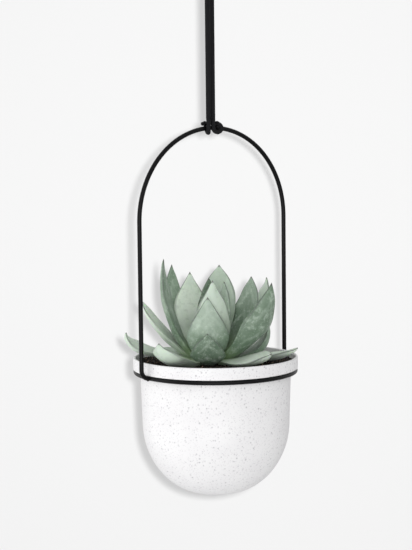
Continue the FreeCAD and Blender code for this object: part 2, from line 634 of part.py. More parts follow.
def make_leaves():
    """Every leaf, each cut clear of the stem, the soil and the leaves inside it."""
    spare = size["leaf_gap"]
    cone = Part.makeCone(
        size["crown_width"] / 2 + spare, size["crown_top"] / 2 + spare, size["crown_height"] + spare)
    cone.translate(Vector(-size["crown_left"], size["crown_back"], soil_top))
    span = 2 * rim_radius
    ground = Part.makeBox(2 * span, 2 * span, span, Vector(-span, -span, soil_top + spare - span))
    placed = []
    leaves = []
    for label, *leaf in LEAF_SHARES:
        marks = leaf_marks(leaf)
        tools = [cone] + [tool for tool, others in placed if near_marks(marks, others)]
        if min(mark.z for mark in marks) < soil_top + spare:
            tools.append(ground)
        item = doc.addObject("Part::Feature", label)
        item.Shape = cut_clear(leaf_solid(leaf, 0), tools)
        placed.append((leaf_solid(leaf, spare), marks))
        leaves.append(named(hang(item), label))
    return leaves


def corner_arc(before, corner, after):
    """The arc that rounds a corner of the cord's route, and its radius."""
    back = before - corner
    ahead = after - corner
    run = ARC_SHARE * min(back.Length, ahead.Length)
    back.normalize()
    ahead.normalize()
    turn = math.pi - back.getAngle(ahead)
    radius = run / math.tan(turn / 2)
    bisector = (back + ahead).normalize()
    nearest = corner + bisector * (radius / math.cos(turn / 2) - radius)
    return Part.Arc(corner + back * run, nearest, corner + ahead * run), radius


def tube(route, width):
    """A round tube along straight runs joined by tangent arcs, its length and its arcs' radii."""
    edges = []
    radii = []
    start = route[0]
    for before, corner, after in zip(route, route[1:], route[2:]):
        arc, radius = corner_arc(before, corner, after)
        edges.append(Part.LineSegment(start, arc.StartPoint).toShape())
        edges.append(arc.toShape())
        radii.append(radius)
        start = arc.EndPoint
    edges.append(Part.LineSegment(start, route[-1]).toShape())
    path = Part.Wire(edges)
    section = Part.Wire(Part.Circle(route[0], route[1] - route[0], width / 2).toShape())
    solid = path.makePipeShell([section], True, False)
    length = sum(edge.Length for edge in edges)
    return solid, length, radii


def strand_feet():
    """Where the two free strands end, and the way each one runs up from there."""
    half = size["strand_gap"] / 2
    level = -(saddle + size["cord_drop"]) + size["strand_foot"]
    return [Vector(side * half, 0, level) for side in (-1, 1)]


def cord_route():
    """The doubled cord from the left hitch, round the hook's saddle and down to the right knot."""
    radius = size["hook_wire"] / 2 + size["loop_clear"] + size["cord_width"] / 2
    across = Vector(math.cos(math.radians(LOOP_TURN)), math.sin(math.radians(LOOP_TURN)), 0)
    left, right = strand_feet()
    loop = [across * (out * radius) + Vector(0, 0, up * radius - saddle) for out, up in LOOP_SHARES]
    return [left] + loop + [right]


def make_cord():
    """Cord: one length doubled over the hook's saddle, ending in a hitch and a knot on the arch."""
    route = cord_route()
    solid, length, radii = tube(route, size["cord_width"])
    for point in route:
        print(f"route point: {point.x:.2f} {point.y:.2f} {point.z:.2f}")
    expected = math.pi * (size["cord_width"] / 2) ** 2 * length
    print(f"cord: length {length:.1f} mm, radii", [round(r, 2) for r in radii])
    print(f"cord: volume {solid.Volume:.1f} against section times length {expected:.1f}")
    cord = doc.addObject("Part::Feature", "cord")
    cord.Shape = solid
    return named(cord, "cord")


def stub(name, side):
    """The last stretch of a strand, from its foot down into its knot."""
    foot = strand_feet()[0 if side < 0 else 1]
    route = cord_route()
    top = route[1] if side < 0 else route[-2]
    down = foot - top
    down.normalize()
    item = primitive("Cylinder", name, Radius="cord_width / 2",
                     Height="strand_foot - frame_wire / 2 - loop_clear - cord_width / 2")
    item.Placement = Placement(foot, Rotation(Vector(0, 0, 1), down))
    return item


def wire_turn(name, place_x):
    """One turn of the cord round the arch's wire."""
    sag = f"({ARCH_RADIUS} - sqrt({ARCH_RADIUS}^2 - ({place_x})^2))"
    return primitive(
        "Torus", name, (f"knot_shift + {place_x}", "0", f"{ARCH_TOP} - {sag}"),
        Rotation(Vector(0, 1, 0), 90),
        Radius1="frame_wire / 2 + loop_clear + cord_width / 2", Radius2="cord_width / 2")


def make_hitch():
    """The cord's left end: one turn round the wire, drawn up tight, and a short free tail."""
    turn = wire_turn("hitch_turn", "(-knot_shift - strand_gap / 2)")
    out = "-strand_gap / 2"
    front = f"-{TAIL_SIDE_SHARE} * tail_width"
    level = f"({ARCH_TOP} + frame_wire / 2 + loop_clear + tail_width / 2)"
    reach = "(tail_length + cord_width / 2)"
    tail = primitive("Cylinder", "hitch_tail", (out, front, level),
                     Rotation(Vector(0, 1, 0), -(90 + TAIL_DROOP)),
                     Radius="tail_width / 2", Height=reach)
    end = primitive(
        "Sphere", "hitch_tail_end",
        (f"{out} - {reach} * cos({TAIL_DROOP} deg)", front,
         f"{level} - {reach} * sin({TAIL_DROOP} deg)"),
        Radius="tail_width / 2")
    return named(fuse("hitch_joined", [turn, stub("hitch_stub", -1), tail, end]), "left_hitch")


def make_knot():
    """The cord's right end: two turns round the wire and a coil drawn up in front of it."""
    front = wire_turn(
        "knot_turn", f"(-knot_shift + strand_gap / 2 - {TURN_SHIFT_SHARE} * frame_wire)")
    rear = wire_turn("knot_rear_turn", "rear_turn")
    coil = primitive(
        "Torus", "knot_coil",
        ("knot_shift + knot_side", "-(frame_wire / 2 + loop_clear + cord_width / 2)", ARCH_TOP),
        Rotation(Vector(1, 0, 0), 90), Radius1="knot_coil", Radius2="cord_width / 2")
    return named(fuse("knot_joined", [front, rear, coil, stub("knot_stub", 1)]), "right_knot")


parts = [make_hook(), make_cord(), make_hitch(), make_knot()]
parts += make_frame()
parts += [make_pot(), make_plug(), make_soil(), make_stem()]
parts += make_leaves()
doc.recompute()

for item in doc.Objects:
    bad = [word for word in item.State if word in ("Invalid", "Error")]
    if bad:
        raise RuntimeError(f"{item.Name} failed: {item.State}")
for item in parts:
    shape = item.Shape
    if shape.isNull() or not shape.isValid() or not shape.Solids:
        raise RuntimeError(f"{item.Label} has no valid solid")

os.makedirs("parts", exist_ok=True)
for item in parts:
    item.Shape.exportStep(f"parts/{item.Label}.step")
    box = item.Shape.BoundBox
    print(f"{item.Label}: {len(item.Shape.Solids)} solid, volume {item.Shape.Volume:.0f}, "
          f"x {box.XMin:.1f} {box.XMax:.1f} y {box.YMin:.1f} {box.YMax:.1f} "
          f"z {box.ZMin:.1f} {box.ZMax:.1f}")
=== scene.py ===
"""Looks of the hanging planter: its cord and knots, wire frame, speckled pot, soil and succulent.

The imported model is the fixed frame. Everything is in metres in that frame: +Z up, the origin where
the ceiling hook's screw enters the ceiling, the wire arch in the XZ plane, the round knot facing -Y.
"""

from __future__ import annotations

import logging
import math
import random
from dataclasses import dataclass, field
from enum import Enum
from typing import Any, Mapping, Sequence

import bpy
import numpy as np
from mathutils import Matrix, Vector, noise


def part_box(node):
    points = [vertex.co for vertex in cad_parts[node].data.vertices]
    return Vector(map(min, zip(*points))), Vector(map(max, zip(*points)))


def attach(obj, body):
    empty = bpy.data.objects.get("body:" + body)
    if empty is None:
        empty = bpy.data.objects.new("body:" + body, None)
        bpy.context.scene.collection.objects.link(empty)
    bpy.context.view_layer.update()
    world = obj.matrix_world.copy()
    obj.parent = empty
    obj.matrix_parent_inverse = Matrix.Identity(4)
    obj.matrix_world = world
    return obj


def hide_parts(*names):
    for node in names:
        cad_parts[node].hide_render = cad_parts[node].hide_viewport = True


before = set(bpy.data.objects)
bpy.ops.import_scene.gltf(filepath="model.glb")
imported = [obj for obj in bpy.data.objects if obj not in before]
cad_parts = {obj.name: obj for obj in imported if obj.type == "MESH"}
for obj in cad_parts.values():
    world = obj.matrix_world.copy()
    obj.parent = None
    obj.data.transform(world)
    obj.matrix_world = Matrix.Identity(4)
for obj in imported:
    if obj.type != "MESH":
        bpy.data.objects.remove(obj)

LOG = logging.getLogger("planter")
MM = 0.001
WHITE = (1.0, 1.0, 1.0, 1.0)

Colour = tuple[float, float, float]
Route = tuple[tuple[float, float, float], ...]


class Body(Enum):
    """The moving bodies that new pieces ride on."""

    CORD = "cord"
    POT = "pot"


class Slot(Enum):
    """Names of material slots for new pieces, which the script never assigns."""

    CORD = "cord"
    SOIL = "soil"
    LEAF = "leaf_flesh"


@dataclass(frozen=True)
class Layout:
    """Levels and radii that several pieces share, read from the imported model."""

    axis_x: float
    ring_level: float
    arch_top: float
    soil_top: float
    collar_radius: float
    soil_radius: float

    @staticmethod
    def measured() -> Layout:
        """Reads the levels and radii from the frame's nodes.

        Returns:
            The layout, in metres.
        """
        ring_low, ring_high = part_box("wire_ring")
        arch_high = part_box("wire_arch")[1].z
        pot_low, pot_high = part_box("pot")
        soil_low, soil_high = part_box("soil")
        wire_radius = (ring_high.z - ring_low.z) / 2
        return Layout(
            axis_x=(ring_low.x + ring_high.x) / 2,
            ring_level=(ring_low.z + ring_high.z) / 2,
            arch_top=arch_high - wire_radius,
            soil_top=soil_high.z,
            collar_radius=(pot_high.x - pot_low.x) / 2,
            soil_radius=(soil_high.x - soil_low.x) / 2,
        )


@dataclass(frozen=True)
class Ramp:
    """Where a value starts and stops counting, and what it becomes at both ends."""

    low: float
    high: float
    to_low: float = 0.0
    to_high: float = 1.0
    smooth: bool = True


class Graph:
    """Adds nodes to one node tree and feeds their sockets."""

    def __init__(self, tree: bpy.types.NodeTree) -> None:
        """Keeps the tree that nodes are added to.

        Args:
            tree: A shader or geometry node tree.
        """
        self.tree = tree

    def feed(self, socket: bpy.types.NodeSocket, value: Any) -> None:
        """Links a node or socket to an input, or sets the input's own value.

        Args:
            socket: The input.
            value: A node, an output socket or a plain value.
        """
        if isinstance(value, bpy.types.Node):
            value = value.outputs[0]
        if isinstance(value, bpy.types.NodeSocket):
            self.tree.links.new(value, socket)
        else:
            socket.default_value = value

    def add(self, kind: str, inputs: Mapping[Any, Any] | None = None, **settings: Any) -> bpy.types.Node:
        """Adds a node.

        Args:
            kind: The node's type name.
            inputs: Values or sources by the input's name or number.
            **settings: Properties of the node.

        Returns:
            The node.
        """
        made = self.tree.nodes.new(kind)
        for name, value in settings.items():
            setattr(made, name, value)
        for name, value in (inputs or {}).items():
            self.feed(made.inputs[name], value)
        return made

    def maths(self, operation: str, *values: Any) -> bpy.types.NodeSocket:
        """Adds a Math node.

        Args:
            operation: What it does.
            *values: Its operands.

        Returns:
            The result's socket.
        """
        return self.add("ShaderNodeMath", dict(enumerate(values)), operation=operation).outputs[0]

    def span(self, value: Any, low: Any, high: Any, to_low: Any = 0.0, to_high: Any = 1.0,
             smooth: bool = True) -> bpy.types.NodeSocket:
        """Maps a value from one range to another and holds it there.

        Args:
            value: The value.
            low: Where the source range starts.
            high: Where it ends.
            to_low: What the start becomes.
            to_high: What the end becomes.
            smooth: Whether the ramp eases in and out.

        Returns:
            The mapped value's socket.
        """
        kind = "SMOOTHSTEP" if smooth else "LINEAR"
        made = self.add("ShaderNodeMapRange", {0: value, 1: low, 2: high, 3: to_low, 4: to_high},
                        interpolation_type=kind)
        return made.outputs[0]

    def ramp(self, value: Any, ramp: Ramp) -> bpy.types.NodeSocket:
        """Maps a value by a ramp."""
        return self.span(value, ramp.low, ramp.high, ramp.to_low, ramp.to_high, ramp.smooth)


class Shader(Graph):
    """A material's nodes, with the few kinds that the finishes share."""

    def __init__(self, name: str) -> None:
        """Makes an empty material.

        Args:
            name: The material's name.
        """
        self.material = bpy.data.materials.new(name)
        self.material.use_nodes = True
        super().__init__(self.material.node_tree)
        self.tree.nodes.clear()
        self.place = self.add("ShaderNodeTexCoord").outputs["Object"]

    def noise(self, scale: float, detail: float = 3.0, rough: float = 0.5) -> bpy.types.NodeSocket:
        """A noise pattern between 0 and 1.

        Args:
            scale: Cells per metre.
            detail: Octaves.
            rough: How strongly the finer octaves show.

        Returns:
            The pattern's socket.
        """
        made = self.add("ShaderNodeTexNoise", {
            "Vector": self.place, "Scale": scale, "Detail": detail, "Roughness": rough})
        return made.outputs[0]

    def blend(self, share: Any, first: Any, second: Any) -> bpy.types.NodeSocket:
        """Mixes two colours.

        Args:
            share: How much of the second shows.
            first: A colour or its socket.
            second: A colour or its socket.

        Returns:
            The mixed colour's socket.
        """
        made = self.add("ShaderNodeMix", data_type="RGBA")
        self.feed(made.inputs[0], share)
        for index, colour in ((6, first), (7, second)):
            self.feed(made.inputs[index], (*colour, 1.0) if isinstance(colour, tuple) else colour)
        return made.outputs[2]

    def attribute(self, name: str) -> bpy.types.NodeSocket:
        """The value of a named attribute of the mesh."""
        return self.add("ShaderNodeAttribute", attribute_name=name).outputs["Fac"]

    def bump(self, height: Any, depth: float, base: Any = None) -> bpy.types.NodeSocket:
        """Turns a height pattern into a surface direction.

        Args:
            height: The pattern's socket, 0 to 1.
            depth: The relief in metres.
            base: A surface direction that it adds to.

        Returns:
            The direction's socket.
        """
        made = self.add("ShaderNodeBump", {"Height": height, "Strength": 1.0, "Distance": depth})
        if base is not None:
            self.feed(made.inputs["Normal"], base)
        return made.outputs[0]

    def finish(self, colour: bpy.types.NodeSocket, roughness: Any, normal: bpy.types.NodeSocket,
               fixed: Mapping[str, Any] | None = None) -> bpy.types.Material:
        """Closes the material with one surface shader.

        Args:
            colour: The colour's socket.
            roughness: A number or its socket.
            normal: A surface direction's socket.
            fixed: Values of other sockets of the shader.

        Returns:
            The material.
        """
        surface = self.add("ShaderNodeBsdfPrincipled", fixed)
        for name, value in (("Base Color", colour), ("Roughness", roughness), ("Normal", normal)):
            self.feed(surface.inputs[name], value)
        self.add("ShaderNodeOutputMaterial", {"Surface": surface})
        return self.material


@dataclass(frozen=True)
class PowderCoat:
    """Black satin powder coat on steel wire, with its fine orange peel."""

    name: str
    colour: Colour = (0.0022, 0.0022, 0.0026)
    worn: Colour = (0.0040, 0.0040, 0.0046)
    wear: Ramp = Ramp(0.35, 0.70)
    drift_scale: float = 60.0
    peel_scale: float = 1500.0
    peel_depth: float = 0.018 * MM
    roughness: Ramp = Ramp(0.30, 0.70, 0.30, 0.38)
    specular: float = 0.12

    def material(self) -> bpy.types.Material:
        """Builds the material.

        Returns:
            The black coat.
        """
        shader = Shader(self.name)
        drift = shader.noise(self.drift_scale)
        colour = shader.blend(shader.ramp(drift, self.wear), self.colour, self.worn)
        peel = shader.bump(shader.noise(self.peel_scale, detail=2.0), self.peel_depth)
        return shader.finish(colour, shader.ramp(drift, self.roughness), peel,
                             {"Specular IOR Level": self.specular})


@dataclass(frozen=True)
class SpeckLayer:
    """One size of speck: cells per metre, the largest speck's radius and its soft edge as shares of a
    cell, the share of cells that hold one, and how strongly the darkest shows."""

    scale: float
    radius_share: float
    fade_share: float
    used_share: float
    strength: float


@dataclass(frozen=True)
class SpeckledShell:
    """White moulded shell with grey-lilac specks through it."""

    name: str = "speckled_white"
    colour: Colour = (0.832, 0.828, 0.834)
    cloud: Colour = (0.805, 0.798, 0.808)
    speck: Colour = (0.27, 0.25, 0.28)
    layers: tuple[SpeckLayer, ...] = (
        SpeckLayer(230.0, 0.300, 0.220, 0.85, 0.60),
        SpeckLayer(370.0, 0.430, 0.270, 0.92, 0.50),
        SpeckLayer(760.0, 0.410, 0.160, 0.92, 0.38),
    )
    wobble_cells: float = 2.5
    wobble_share: float = 0.16
    smallest_share: float = 0.45
    faintest_share: float = 0.45
    clouding: Ramp = Ramp(0.35, 0.75)
    grain_scale: float = 2600.0
    grain_depth: float = 0.012 * MM
    wave_scale: float = 45.0
    wave_depth: float = 0.10 * MM
    roughness: Ramp = Ramp(0.30, 0.70, 0.42, 0.52)
    specular: float = 0.45

    def specks(self, shader: Shader, layer: SpeckLayer) -> bpy.types.NodeSocket:
        """Where one layer's specks show.

        Args:
            shader: The material's nodes.
            layer: The layer.

        Returns:
            The socket of a value that is 1 in a speck and 0 between specks.
        """
        wobble = shader.add("ShaderNodeTexNoise", {
            "Vector": shader.place, "Scale": layer.scale * self.wobble_cells, "Detail": 1.0})
        shift = shader.add("ShaderNodeVectorMath", {
            0: wobble.outputs["Color"], 1: (0.5, 0.5, 0.5)}, operation="SUBTRACT")
        shift = shader.add("ShaderNodeVectorMath", {
            0: shift, "Scale": self.wobble_share / layer.scale}, operation="SCALE")
        place = shader.add("ShaderNodeVectorMath", {0: shader.place, 1: shift}, operation="ADD")
        cells = shader.add("ShaderNodeTexVoronoi", {"Vector": place, "Scale": layer.scale})
        dice = shader.add("ShaderNodeSeparateColor", {0: cells.outputs["Color"]})
        used = shader.maths("LESS_THAN", dice.outputs[0], layer.used_share)
        grown = shader.ramp(dice.outputs[1], Ramp(
            0.0, 1.0, self.smallest_share * layer.radius_share, layer.radius_share, smooth=False))
        inner = shader.maths("SUBTRACT", grown, layer.fade_share)
        inside = shader.span(cells.outputs["Distance"], inner, grown, 1.0, 0.0)
        shade = shader.ramp(dice.outputs[2], Ramp(
            0.0, 1.0, self.faintest_share * layer.strength, layer.strength, smooth=False))
        return shader.maths("MULTIPLY", shader.maths("MULTIPLY", inside, used), shade)

    def material(self) -> bpy.types.Material:
        """Builds the material.

        Returns:
            The speckled white.
        """
        shader = Shader(self.name)
        cloud = shader.noise(self.wave_scale, detail=4.0)
        colour = shader.blend(shader.ramp(cloud, self.clouding), self.colour, self.cloud)
        for layer in self.layers:
            colour = shader.blend(self.specks(shader, layer), colour, self.speck)
        grain = shader.bump(shader.noise(self.grain_scale, detail=2.0), self.grain_depth)
        normal = shader.bump(shader.noise(self.wave_scale, detail=1.0), self.wave_depth, grain)
        return shader.finish(colour, shader.ramp(cloud, self.roughness), normal,
                             {"Specular IOR Level": self.specular})


@dataclass(frozen=True)
class PlugRubber:
    """Pale grey moulded rubber of the drain plug, slightly dusty."""

    name: str = "plug_rubber"
    colour: Colour = (0.60, 0.60, 0.59)
    dusty: Colour = (0.50, 0.49, 0.47)
    dust: Ramp = Ramp(0.45, 0.70)
    grain_scale: float = 900.0
    grain_depth: float = 0.03 * MM
    roughness: float = 0.68

    def material(self) -> bpy.types.Material:
        """Builds the material.

        Returns:
            The grey rubber.
        """
        shader = Shader(self.name)
        grain = shader.noise(self.grain_scale, detail=4.0)
        colour = shader.blend(shader.ramp(grain, self.dust), self.colour, self.dusty)
        return shader.finish(colour, self.roughness, shader.bump(grain, self.grain_depth))


@dataclass(frozen=True)
class BraidYarn:
    """Black braided cord: matt yarn, with painted shade darkening the furrows between the picks."""

    name: str = "braided_cord"
    painted_furrow_shade: Colour = (0.0010, 0.0010, 0.0012)
    crown: Colour = (0.0200, 0.0200, 0.0220)
    fibre_scale: float = 5200.0
    fibre_depth: float = 0.02 * MM
    fibre_shade: Ramp = Ramp(0.20, 0.80, 0.70, 1.00)
    roughness: Ramp = Ramp(0.00, 1.00, 0.90, 0.72)
    specular: float = 0.06

    def material(self) -> bpy.types.Material:
        """Builds the material.

        Returns:
            The black braid.
        """
        shader = Shader(self.name)
        weave = shader.attribute("weave")
        fibre = shader.noise(self.fibre_scale, detail=2.0)
        # Painted shade: the yarn is darker down in the furrows between the picks and paler on their crowns.
        lit = shader.maths("MULTIPLY", weave, shader.ramp(fibre, self.fibre_shade))
        colour = shader.blend(lit, self.painted_furrow_shade, self.crown)
        return shader.finish(colour, shader.ramp(weave, self.roughness),
                             shader.bump(fibre, self.fibre_depth), {"Specular IOR Level": self.specular})


@dataclass(frozen=True)
class LeafSkin:
    """Fleshy blue-green leaf with waxy bloom, pressed-in lines, darker margin and a brown tip, painted shade
    towards its foot, and a paleness for each leaf that is partly its own colour and partly painted light and
    shade.
    """

    name: str = "leaf_skin"
    deep: Colour = (0.098, 0.158, 0.100)
    middle: Colour = (0.262, 0.355, 0.262)
    pale: Colour = (0.780, 0.865, 0.755)
    bloom: Colour = (0.600, 0.700, 0.605)
    young: Colour = (0.235, 0.345, 0.165)
    wax: Colour = (0.600, 0.700, 0.600)
    margin: Colour = (0.100, 0.118, 0.104)
    tip: Colour = (0.085, 0.080, 0.075)
    cloud_scale: float = 55.0
    patch_scale: float = 170.0
    speck_scale: float = 520.0
    fine_scale: float = 1560.0
    fine_depth: float = 0.03 * MM
    cloud_depth: float = 0.35 * MM
    dark_half: Ramp = Ramp(0.00, 0.50, smooth=False)
    pale_half: Ramp = Ramp(0.50, 1.00, smooth=False)
    dust: Ramp = Ramp(0.35, 0.75, 0.00, 0.75)
    dust_under: Ramp = Ramp(0.00, 1.00, 0.80, 1.00)
    dust_tone: Ramp = Ramp(0.00, 0.60, 0.20, 0.85)
    frost_along: Ramp = Ramp(0.46, 0.82)
    foot_shade: Ramp = Ramp(0.62, 0.28, 0.00, 0.35)
    wax_patch: Ramp = Ramp(0.50, 0.72, 0.00, 0.42)
    dark_patch: Ramp = Ramp(0.48, 0.28, 0.00, 0.22)
    wax_spot: Ramp = Ramp(0.57, 0.72, 0.00, 0.55)
    young_foot: Ramp = Ramp(0.30, 0.02, 0.00, 0.75)
    edge_across: Ramp = Ramp(0.84, 0.97)
    edge_along: Ramp = Ramp(0.30, 0.90)
    edge_strength: float = 0.85
    tip_along: Ramp = Ramp(0.955, 0.985, 0.00, 0.90)
    roughness: Ramp = Ramp(0.30, 0.70, 0.55, 0.66)
    imprint_scale: float = 36.0
    imprint_wander: float = 0.35
    imprint_slant: float = 0.34
    imprint_lines: float = 3.2
    imprint_line: Ramp = Ramp(0.35, 1.00)
    imprint_across: Ramp = Ramp(0.85, 0.50)
    imprint_along: Ramp = Ramp(0.15, 0.35)
    imprint_strength: float = 0.16

    def material(self) -> bpy.types.Material:
        """Builds the material.

        Returns:
            The leaf skin.
        """
        shader = Shader(self.name)
        along = shader.attribute("along")
        across = shader.maths("ABSOLUTE", shader.attribute("across"))
        tone = shader.attribute("tone")
        under = shader.attribute("under")
        cloud = shader.noise(self.cloud_scale, detail=5.0, rough=0.55)
        # Painted light and shade: each leaf's paleness is partly its own colour and partly how lit or shaded
        # it stands.
        body = shader.blend(shader.ramp(tone, self.dark_half), self.deep, self.middle)
        body = shader.blend(shader.ramp(tone, self.pale_half), body, self.pale)
        dusted = shader.maths("MULTIPLY", shader.ramp(cloud, self.dust),
                              shader.ramp(under, self.dust_under))
        dusted = shader.maths("MULTIPLY", dusted, shader.ramp(tone, self.dust_tone))
        frost = shader.maths("MULTIPLY", shader.attribute("frost"), shader.ramp(along, self.frost_along))
        patch = shader.noise(self.patch_scale, detail=4.0, rough=0.6)
        spots = shader.noise(self.speck_scale, detail=3.0, rough=0.7)
        edge = shader.maths("MULTIPLY", shader.ramp(across, self.edge_across),
                            shader.ramp(along, self.edge_along))
        colour = body
        for share, over in (
                (dusted, self.bloom),
                (frost, self.bloom),
                # Painted shade: darker towards each leaf's foot, where its neighbours crowd it.
                (shader.ramp(along, self.foot_shade), self.deep),
                (self.imprint(shader, along, across), self.bloom),
                (shader.ramp(patch, self.wax_patch), self.wax),
                (shader.ramp(patch, self.dark_patch), self.deep),
                (shader.ramp(spots, self.wax_spot), self.wax),
                (shader.ramp(along, self.young_foot), self.young),
                (shader.maths("MULTIPLY", edge, self.edge_strength), self.margin),
                (shader.ramp(along, self.tip_along), self.tip)):
            colour = shader.blend(share, colour, over)
        fine = shader.bump(shader.noise(self.fine_scale, detail=3.0), self.fine_depth)
        normal = shader.bump(cloud, self.cloud_depth, fine)
        return shader.finish(colour, shader.ramp(cloud, self.roughness), normal, {
            "Subsurface Weight": 0.30, "Subsurface Radius": (0.9, 1.2, 0.7), "Subsurface Scale": 2.0 * MM,
            "Specular IOR Level": 0.35, "Sheen Weight": 0.06, "Sheen Roughness": 0.4})

    def imprint(self, shader: Shader, along: Any, across: Any) -> bpy.types.NodeSocket:
        """Pale lines that a leaf's neighbours pressed into it in the bud, running down from its edges.

        Args:
            shader: The material's nodes.
            along: The share of the leaf's length.
            across: The share of its half width.

        Returns:
            The socket of the lines' strength.
        """
        bent = shader.maths("MULTIPLY_ADD", across, self.imprint_slant, along)
        drift = shader.noise(self.imprint_scale, detail=2.0)
        place = shader.maths("ADD", bent, shader.maths("MULTIPLY", drift, self.imprint_wander))
        phase = shader.maths("MULTIPLY", place, 2 * math.pi * self.imprint_lines)
        line = shader.ramp(shader.maths("SINE", phase), self.imprint_line)
        inner = shader.maths("MULTIPLY", shader.ramp(across, self.imprint_across),
                             shader.ramp(along, self.imprint_along))
        return shader.maths("MULTIPLY", shader.maths("MULTIPLY", line, inner), self.imprint_strength)


@dataclass(frozen=True)
class DarkCompost:
    """Dark brown potting soil with orange-brown bits of bark."""

    name: str = "potting_soil"
    wet: Colour = (0.006, 0.0045, 0.004)
    dry: Colour = (0.026, 0.018, 0.014)
    bark: Colour = (0.420, 0.290, 0.215)
    drying: Ramp = Ramp(0.35, 0.70)
    bark_crumbs: Ramp = Ramp(0.84, 0.98, 0.00, 0.90)
    grain_scale: float = 700.0
    grain_depth: float = 0.35 * MM
    roughness: float = 0.92
    specular: float = 0.20

    def material(self) -> bpy.types.Material:
        """Builds the material.

        Returns:
            The soil.
        """
        shader = Shader(self.name)
        grain = shader.noise(self.grain_scale, detail=5.0, rough=0.65)
        colour = shader.blend(shader.ramp(grain, self.drying), self.wet, self.dry)
        colour = shader.blend(shader.ramp(shader.attribute("crumb"), self.bark_crumbs), colour, self.bark)
        return shader.finish(colour, self.roughness, shader.bump(grain, self.grain_depth),
                             {"Specular IOR Level": self.specular})


def finished(obj: bpy.types.Object, material: bpy.types.Material) -> bpy.types.Object:
    """Gives a piece its one material.

    Args:
        obj: The piece.
        material: Its finish.

    Returns:
        The piece.
    """
    obj.data.materials.clear()
    obj.data.materials.append(material)
    return obj


def dress(node: str, material: bpy.types.Material) -> None:
    """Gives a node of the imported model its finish.

    Args:
        node: The node's name.
        material: Its finish.
    """
    finished(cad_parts[node], material)
    LOG.info("%s keeps its solid, in %s", node, material.name)


def placed(piece: bpy.types.Object, body: Body, node: str) -> None:
    """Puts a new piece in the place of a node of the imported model.

    Args:
        piece: The piece.
        body: The body that it rides on.
        node: The node that it replaces.
    """
    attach(piece, body.value)
    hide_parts(node)
    LOG.info("%s stands for %s: %d faces", piece.name, node, len(piece.data.polygons))


def linked(name: str, data: bpy.types.ID) -> bpy.types.Object:
    """Puts a mesh or curve in the scene.

    Args:
        name: The piece's name.
        data: Its mesh or curve.

    Returns:
        The new object, at the origin.
    """
    obj = bpy.data.objects.new(name, data)
    bpy.context.scene.collection.objects.link(obj)
    return obj


def smooth_mesh(name: str, points: np.ndarray, faces: Sequence[Sequence[int]]) -> bpy.types.Mesh:
    """Makes a smooth-shaded mesh.

    Args:
        name: The mesh's name.
        points: Rows of x, y, z in metres.
        faces: Point numbers of each face, anticlockwise from outside.

    Returns:
        The mesh.
    """
    mesh = bpy.data.meshes.new(name)
    mesh.from_pydata(points.tolist(), [], faces)
    mesh.shade_smooth()
    mesh.update()
    return mesh


def store(mesh: bpy.types.Mesh, name: str, values: np.ndarray) -> None:
    """Stores one number for each point of a mesh.

    Args:
        mesh: The mesh.
        name: The attribute's name.
        values: A number for each point.
    """
    layer = mesh.attributes.new(name, "FLOAT", "POINT")
    layer.data.foreach_set("value", values.astype(np.float32))


class GeometryTree(Graph):
    """A geometry node tree with named inputs, applied to an object as a plain mesh."""

    def __init__(self, name: str) -> None:
        """Makes a tree with one geometry input and one geometry output.

        Args:
            name: The tree's name.
        """
        super().__init__(bpy.data.node_groups.new(name, "GeometryNodeTree"))
        for way in ("INPUT", "OUTPUT"):
            self.tree.interface.new_socket("Geometry", in_out=way, socket_type="NodeSocketGeometry")
        self.entry = self.add("NodeGroupInput")
        self.values: dict[str, Any] = {}

    def size(self, name: str, value: Any, kind: str = "NodeSocketFloat") -> str:
        """Adds a named input.

        Args:
            name: The input's name.
            value: Its value.
            kind: Its socket type.

        Returns:
            The name, for use with the entry node.
        """
        socket = self.tree.interface.new_socket(name, in_out="INPUT", socket_type=kind)
        self.values[socket.identifier] = value
        return name

    def given(self, name: str) -> bpy.types.NodeSocket:
        """The socket of a named input."""
        return self.entry.outputs[name]

    def close(self, geometry: Any, material: bpy.types.Material) -> None:
        """Ends the tree in realised instances with their material.

        Args:
            geometry: The last geometry.
            material: The finish.
        """
        real = self.add("GeometryNodeRealizeInstances", {0: geometry})
        dressed = self.add("GeometryNodeSetMaterial", {"Geometry": real, "Material": material})
        self.add("NodeGroupOutput", {0: dressed})

    def plain(self, name: str, source: bpy.types.Object) -> bpy.types.Object:
        """Runs the tree on an object and keeps the result as a plain mesh.

        Args:
            name: The new piece's name.
            source: The object that the tree reads, which is removed.

        Returns:
            The new piece.
        """
        modifier = source.modifiers.new(self.tree.name, "NODES")
        modifier.node_group = self.tree
        for identifier, value in self.values.items():
            modifier[identifier] = value
        graph = bpy.context.evaluated_depsgraph_get()
        mesh = bpy.data.meshes.new_from_object(
            source.evaluated_get(graph), preserve_all_data_layers=True, depsgraph=graph)
        source.modifiers.clear()
        bpy.data.objects.remove(source)
        mesh.name = name
        return linked(name, mesh)


@dataclass
class CeilingHook:
    """The steel screw hook that the cord loops over."""

    coat: PowderCoat = field(default_factory=lambda: PowderCoat("hook_coat"))

    def build(self) -> None:
        """Dresses the hook."""
        dress("ceiling_hook", self.coat.material())


@dataclass
class WireFrame:
    """The ring, the arch and the two weld beads."""

    coat: PowderCoat = field(default_factory=lambda: PowderCoat("frame_coat"))

    def build(self) -> None:
        """Dresses the frame's wires and welds."""
        material = self.coat.material()
        for node in ("wire_ring", "wire_arch", "weld_left", "weld_right"):
            dress(node, material)


@dataclass
class Pot:
    """The speckled shell and its drain plug."""

    shell: SpeckledShell = field(default_factory=SpeckledShell)
    rubber: PlugRubber = field(default_factory=PlugRubber)

    def build(self) -> None:
        """Dresses the shell and the plug."""
        dress("pot", self.shell.material())
        dress("drain_plug", self.rubber.material())


